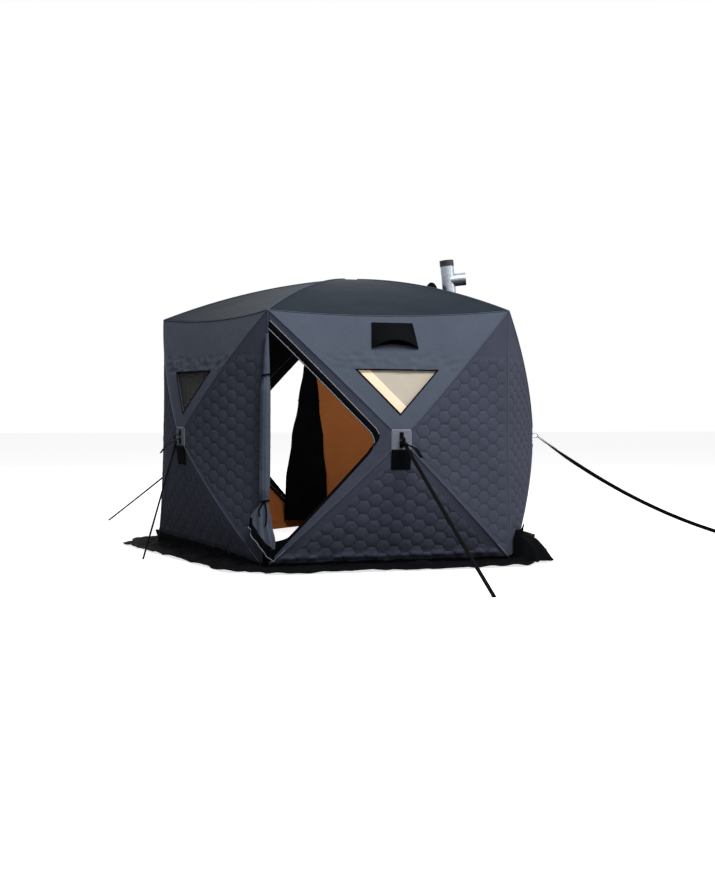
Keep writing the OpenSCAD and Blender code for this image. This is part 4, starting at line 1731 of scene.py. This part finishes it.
@dataclass
class Vent:
    """The vent hood on the front wall: a sewn upper edge and a stiff arched lip."""

    finishes: Finishes
    width: float = 0.34
    flare: float = 0.04
    top: float = 1.737
    foot: float = 1.557
    reach: float = 0.06
    arch: float = 0.058
    # Rise of the mesh sheet's lower edge, which follows the lower edge of the hood's shadow
    mesh_arch: float = 0.026

    def spot(self, u: float, v: float, arch: float) -> Vector:
        """Return a point on the wall behind the hood, u across it and v up from an arched foot.

        Args:
            u: Share across it, from 0 to 1.
            v: Share of its height, from 0 to 1.
            arch: Rise of its foot in the middle.

        Returns:
            The point.
        """
        s = (u - 0.5) * mix(self.width, self.width - self.flare, v)
        p = SHELTER.spot(Wall.FRONT, Part.TOP, s, mix(self.foot + arch * bow(u), self.top, v))
        return p + SHELTER.outward(p) * 0.006

    def hood(self, u: float, v: float) -> Vector:
        """Return a point of the hood."""
        stand = self.reach * bow(u) ** 0.8 * (1.0 - v)
        return self.spot(u, v, self.arch) + SHELTER.facing(Wall.FRONT) * (0.004 + stand)

    def build(self) -> None:
        """Make the hood, its lip and the black mesh under it, which is shaped to the hood's shadow: partly
        the dark mesh, partly painted shade.
        """
        for name, place, nodes in (
                ("vent_hood_cloth", self.hood, ["vent_hood"]),
                # The black mesh sheet is partly the dark mesh and partly painted shade under the hood
                ("vent_mesh", lambda u, v: self.spot(u, v * 0.9, self.mesh_arch), [])):
            piece, area = make_sheet(
                name, grid_cloth(36, 14, place), 0.002, [self.finishes.black], "black_fabric", nodes)
        lip = [self.hood(t, 0.0) for t in shares(40)]
        edges = [[self.hood(end, t) for t in shares(12)] for end in (0.0, 1.0)]
        edges.append([self.hood(t, 1.0) for t in shares(20)])
        make_cords(
            "vent_hood_binding", [([lip], 0.0045, False), (edges, 0.003, False)],
            self.finishes.black, "black_fabric")


@dataclass
class Skirt:
    """The black snow skirt: a hem up the foot of the walls and a crumpled flap on the ice."""

    finishes: Finishes
    width: float = 0.31
    heap: float = 0.19
    hem_part: float = 0.2
    flat_width: float = 0.42
    per_wall: int = 80
    rows: int = 22

    def place(self, u: float, v: float) -> Vector:
        """Return a point of the skirt, u round the shelter and v from the hem outwards.

        Args:
            u: Share of the way round, from 0 to 1.
            v: Share of its width, from 0 to 1.

        Returns:
            The point.
        """
        turn = (u % 1.0) * 5.0
        k = int(turn) % 5
        share = turn - int(turn)
        along, facing = SHELTER.along(k), SHELTER.facing(k)
        foot = SHELTER.base_r * math.cos(math.pi / 5)
        half = foot * math.tan(math.pi / 5)
        s = (share * 2.0 - 1.0) * half
        # The skirt is bunched up against the foot of the right wall
        spread = 0.13 if turn > 1.0 else 0.03
        lumps = 1.0 + 0.25 * crumple(along * s + UP * k, 0.07)
        heap = self.heap * math.exp(-((turn - 1.06) / spread) ** 2) * lumps
        if v < self.hem_part:
            t = v / self.hem_part
            z = mix(SHELTER.hem(turn) + 1.1 * heap, 0.012 + heap, t)
            z += 0.008 * crumple(facing * 3.0 + along * s, 0.09)
            p = SHELTER.spot(k, Part.BOTTOM, s * 0.9995, max(z, 0.01))
            return p + SHELTER.outward(p) * (0.0095 + 0.004 * t ** 2)
        t = (v - self.hem_part) / (1.0 - self.hem_part)
        far = 0.014 + t * self.width
        q = facing * (foot + far) + along * (s * (foot + far) / foot)
        corner = abs(share * 2.0 - 1.0)
        edge = 0.03 * crumple(q, 0.35, 2) * t
        lump = 0.5 + 0.5 * crumple(q, 0.11)
        ruck = abs(crumple(Vector((s, 7.0 * k, 0.4 * t)), 0.16))
        height = 0.006 + (0.022 * lump + 0.05 * ruck * smooth(t / 0.3)) * (1.0 - 0.6 * t)
        height += heap * (1.0 - t ** 2.2) * (0.92 + 0.12 * lump)
        pull = 1.0 - 0.08 * smooth((corner - 0.8) / 0.2) * t
        return Vector((q.x * pull, q.y * pull, 0.0)) + facing * edge + UP * height

    def build(self) -> None:
        """Make the skirt as one crumpled ring."""
        bm = grid_cloth(self.per_wall * len(Wall), self.rows, lambda u, v: self.place(u, 1.0 - v))
        bmesh.ops.remove_doubles(bm, verts=bm.verts[:], dist=2e-4)
        bmesh.ops.smooth_vert(
            bm, verts=bm.verts[:], factor=0.3, use_axis_x=True, use_axis_y=True, use_axis_z=True)
        area = sheet_area(bm)
        add_thickness(bm, 0.002)
        for vert in bm.verts:
            vert.co.z = max(vert.co.z, 0.0005)
        piece = finish_piece("snow_skirt_cloth", bm, [self.finishes.black], "black_fabric", ["snow_skirt"])


@dataclass
class Guys:
    """Pull loops on the hubs, rings in them and the webbing guy straps."""

    finishes: Finishes
    reaches: tuple[float, ...] = (1.3, 2.15, 1.6, 1.6, 0.31)
    turns: tuple[float, ...] = (9.0, 0.0, 0.0, 0.0, 0.0)
    width: float = 0.03
    thickness: float = 0.0022
    fold_thickness: float = 0.0018
    fold_gap: float = 0.0045
    loop: float = 0.028
    dip: float = 0.165
    ring_near: float = 0.0207
    ring_far: float = 0.0377
    ring_half: float = 0.019
    ring_round: float = 0.004
    ring_wire: float = 0.002

    def way(self, k: int) -> Vector:
        """Return the level direction in which wall k's strap runs out."""
        return heading(SHELTER.angle(k) + self.turns[k])

    def side(self, k: int) -> Vector:
        """Return the level direction across wall k's strap."""
        return heading(SHELTER.angle(k) + self.turns[k] + 90.0)

    def loop_middle(self, k: int) -> Vector:
        """Return the middle of the pull loop on wall k.

        Args:
            k: Number of the wall.

        Returns:
            The point.
        """
        s = SHELTER
        stand = self.loop + self.width / 2 * abs(math.sin(math.radians(self.turns[k])))
        return s.facing(k) * (s.apothem + s.hub_reach + s.quilt / 2 + 0.0003 + stand) + UP * s.hub_height

    def foot(self, k: int) -> Vector:
        """Return the far end of wall k's strap on the ice."""
        s = SHELTER
        return s.facing(k) * (s.apothem + s.hub_reach) + self.way(k) * self.reaches[k] + UP * 0.003

    def ahead(self, k: int) -> Vector:
        """Return the direction of wall k's strap."""
        run = self.foot(k) - self.loop_middle(k)
        return (self.way(k) * run.dot(self.way(k)) + UP * run.z).normalized()

    def strap(
        self, path: Sequence[Vector], across: Sequence[Vector], thickness: float | None = None
    ) -> Mesh:
        """Make a flat strap along points.

        Args:
            path: Points along its middle.
            across: Direction of its width at each point.
            thickness: Its thickness, if not the usual one.

        Returns:
            The strap as a new mesh with its own UV map.
        """
        last = len(path) - 1
        length = sum((b - a).length for a, b in zip(path, path[1:]))

        def place(u: float, v: float) -> Vector:
            """Return a point of the strap."""
            i = min(int(round(u * last)), last)
            return path[i] + across[i] * ((v - 0.5) * self.width)

        bm = grid_cloth(last, 2, place, "strap", (length, self.width))
        add_thickness(bm, thickness or self.thickness)
        return bm

    def build_loops(self) -> None:
        """Make a sewn loop of webbing on every hub patch."""
        loops = bmesh.new()
        for k in Wall:
            facing = SHELTER.facing(k)
            middle = self.loop_middle(k)
            face = middle - facing * (self.loop - 0.0075)
            path = [face + UP * (0.055 - 0.012 * i) for i in range(4)]
            for t in shares(20):
                turn = mix(2.45, -2.45, t)
                out = facing * math.cos(turn) + UP * math.sin(turn) * 0.75
                path.append(middle + out * (self.loop - 0.0015))
            path += [face - UP * (0.019 + 0.012 * i) for i in range(4)]
            join(loops, self.strap(path, [self.side(k)] * len(path)))
        finish_piece("pull_loop_webbing", loops, [self.finishes.webbing], "webbing", ["pull_loops"])

    def build_rings(self) -> None:
        """Make a bent wire ring between each loop and its strap."""
        paths = []
        for k in Wall:
            ahead, along = self.ahead(k), self.side(k)
            middle = self.loop_middle(k) + ahead * (self.ring_near + self.ring_far) / 2
            wide = self.ring_half - self.ring_round
            high = (self.ring_far - self.ring_near) / 2 - self.ring_wire - self.ring_round
            ring = []
            for cx, cy, start in ((1, 1, 0), (-1, 1, 90), (-1, -1, 180), (1, -1, 270)):
                for i in range(5):
                    turn = math.radians(start + 22.5 * i)
                    x = cx * wide + self.ring_round * math.cos(turn)
                    y = cy * high + self.ring_round * math.sin(turn)
                    ring.append(middle + along * x + ahead * y)
            paths.append(ring)
        make_cords(
            "strap_ring_wire", [(paths, self.ring_wire, True)], self.finishes.ring, "ring_steel",
            ["strap_rings"])

    def strap_path(self, k: int) -> list[Vector]:
        """Return the run of wall k's strap from its ring to the ice.

        Args:
            k: Number of the wall.

        Returns:
            Points along the strap's middle.
        """
        middle = self.loop_middle(k)
        start = middle + self.ahead(k) * self.ring_far
        end = middle + self.ahead(k) * (self.foot(k) - middle).length
        dip = self.dip if k == Wall.RIGHT else 0.006
        return [start.lerp(end, t) - UP * (dip * bow(t)) for t in shares(40)]

    def strap_across(self, k: int, path: Sequence[Vector]) -> list[Vector]:
        """Return the strap's width direction along its run, on edge where it is slack.

        Args:
            k: Number of the wall.
            path: Points along the strap's middle.

        Returns:
            A direction for each point.
        """
        side, last = self.side(k), len(path) - 1
        across = []
        for i in range(last + 1):
            ahead = (path[min(i + 1, last)] - path[max(i - 1, 0)]).normalized()
            t = i / last
            twist = math.pi / 2 * min(1.0, 6.0 * t, 5.0 * (1.0 - t)) if k == Wall.RIGHT else 0.0
            across.append(side * math.cos(twist) + ahead.cross(side) * math.sin(twist))
        return across

    def build_straps(self) -> None:
        """Make the five straps, each doubled back over its ring."""
        taut, slack = bmesh.new(), bmesh.new()
        for k in Wall:
            path = self.strap_path(k)
            side = self.side(k)
            target = slack if k == Wall.RIGHT else taut
            join(target, self.strap(path, self.strap_across(k, path)))
            ahead = (path[1] - path[0]).normalized()
            over = ahead.cross(side)
            fold = []
            for t in reversed(shares(11)):
                if k == Wall.LEFT:
                    tail = self.way(k) * 0.11 * t - UP * 0.09 * t * t
                else:
                    tail = ahead * 0.18 * t + side * 0.055 * smooth(2.2 * t)
                fold.append(path[0] + tail + over * (self.fold_gap + 0.01 * t))
            fold += [path[0] - ahead * (0.004 * math.sin(a)) + over * self.fold_gap * math.cos(a)
                     for a in (0.5, 1.0, 1.57, 2.1, 2.6)]
            fold += [path[0] + ahead * 0.012 * i - over * self.fold_gap for i in range(1, 8)]
            join(target, self.strap(fold, [side] * len(fold), self.fold_thickness))
        finish_piece("guy_strap_webbing", taut, [self.finishes.webbing], "webbing", ["guy_straps"])
        finish_piece("slack_strap_webbing", slack, [self.finishes.webbing], "webbing", ["slack_guy_strap"])

    def build(self) -> None:
        """Make the loops, rings and straps."""
        self.build_loops()
        self.build_rings()
        self.build_straps()


@dataclass
class Studio:
    """Floor, light and the camera of the photograph."""

    position: Vector = Vector((-2.3708, -9.2551, 1.1448))
    aim: Vector = Vector((0.2557, 0.9661, -0.0356))
    focal_px: float = 1158.8
    height_px: float = 895.0
    roll: float = 0.0037
    sensor: float = 36.0

    def build_camera(self) -> None:
        """Make the camera that matches the photograph."""
        data = bpy.data.cameras.new("camera")
        data.sensor_fit = "VERTICAL"
        data.sensor_height = self.sensor
        data.lens = self.focal_px * self.sensor / self.height_px
        data.clip_end = 200.0
        ahead = self.aim.normalized()
        right = ahead.cross(UP).normalized()
        above = right.cross(ahead)
        x = right * math.cos(self.roll) + above * math.sin(self.roll)
        y = above * math.cos(self.roll) - right * math.sin(self.roll)
        turn = Matrix((x, y, -ahead)).transposed().to_4x4()
        camera = bpy.data.objects.new("camera", data)
        camera.matrix_world = Matrix.Translation(self.position) @ turn
        bpy.context.scene.collection.objects.link(camera)
        bpy.context.scene.camera = camera

    def build_world(self) -> None:
        """Make a white background with a soft even light on the object."""
        world = bpy.data.worlds.new("studio")
        bpy.context.scene.world = world
        world.use_nodes = True
        tree = world.node_tree
        tree.nodes.clear()
        path = add_node(tree, "ShaderNodeLightPath").outputs
        seen = add_node(tree, "ShaderNodeMath", {
            0: path["Is Camera Ray"], 1: path["Is Glossy Ray"]}, operation="MAXIMUM").outputs[0]
        seen = add_node(tree, "ShaderNodeMath", {
            0: seen, 1: path["Is Transmission Ray"]}, operation="MAXIMUM").outputs[0]
        strength = add_node(tree, "ShaderNodeMapRange", {
            "Value": seen, "To Min": 0.21, "To Max": 1.0}).outputs[0]
        shader = add_node(tree, "ShaderNodeBackground", {"Color": (1, 1, 1, 1), "Strength": strength})
        add_node(tree, "ShaderNodeOutputWorld", {"Surface": shader.outputs[0]})

    def build_lamp(self, name: str, place: Vector, target: Vector, size: float, power: float) -> None:
        """Make a soft square lamp.

        Args:
            name: Name of the lamp.
            place: Where it hangs.
            target: Point it is aimed at.
            size: Width in metres.
            power: Power in watts.
        """
        data = bpy.data.lights.new(name, "AREA")
        data.size = size
        data.energy = power
        lamp = bpy.data.objects.new(name, data)
        turn = (place - target).to_track_quat("Z", "Y").to_matrix().to_4x4()
        lamp.matrix_world = Matrix.Translation(place) @ turn
        lamp.visible_camera = False
        bpy.context.scene.collection.objects.link(lamp)

    def build_floor(self) -> None:
        """Make a pale floor that shows white apart from the shadow."""
        bm = bmesh.new()
        bmesh.ops.create_grid(bm, x_segments=1, y_segments=1, size=40.0)
        material, tree, surface = new_material("pale_floor")
        matt = add_node(tree, "ShaderNodeBsdfDiffuse", {"Color": linear("#9a9a9a")})
        pale = add_node(tree, "ShaderNodeBsdfDiffuse", {"Color": linear("#e8e8e8")})
        glow = add_node(tree, "ShaderNodeEmission", {"Color": (1, 1, 1, 1), "Strength": 0.76})
        path = add_node(tree, "ShaderNodeLightPath").outputs
        both = add_node(tree, "ShaderNodeAddShader", {0: pale.outputs[0], 1: glow.outputs[0]})
        seen = add_node(tree, "ShaderNodeMath", {
            0: path["Is Camera Ray"], 1: path["Is Transmission Ray"]}, operation="MAXIMUM").outputs[0]
        pick = add_node(tree, "ShaderNodeMixShader", {0: seen, 1: matt.outputs[0], 2: both.outputs[0]})
        tree.links.new(pick.outputs[0], surface)
        mesh = bpy.data.meshes.new("floor")
        bm.to_mesh(mesh)
        bm.free()
        mesh.materials.append(material)
        floor = bpy.data.objects.new("floor", mesh)
        bpy.context.scene.collection.objects.link(floor)

    def build(self) -> None:
        """Make the whole studio."""
        bpy.context.scene.view_settings.view_transform = "Standard"
        self.build_camera()
        self.build_world()
        self.build_floor()
        middle = Vector((0.0, 0.0, 1.0))
        self.build_lamp("key", Vector((1.2, -6.5, 8.5)), middle, 4.5, 800.0)
        self.build_lamp("side", Vector((8.0, -4.5, 4.5)), middle, 4.0, 180.0)
        self.build_lamp("back", Vector((0.5, 8.0, 7.0)), middle, 4.5, 300.0)
        self.build_lamp("inner", Vector((-0.3, -0.35, 1.5)), Vector((0.35, 1.0, 0.8)), 0.5, 10.0)


def main() -> None:
    """Build every piece of the shelter and its studio."""
    logging.basicConfig(level=logging.INFO, format="%(name)s: %(message)s")
    Studio().build()
    finishes = Finishes()
    doorway, window = Doorway(), Window()
    Hull(finishes, doorway, window).build()
    Seams(finishes).build()
    Glazing(finishes, window).build()
    Doors(finishes, doorway).build()
    Patches(finishes).build()
    Vent(finishes).build()
    Skirt(finishes).build()
    Guys(finishes).build()
    Chimney(finishes).build()
    Skeleton(finishes).build()


if __name__ == "__main__":
    main()
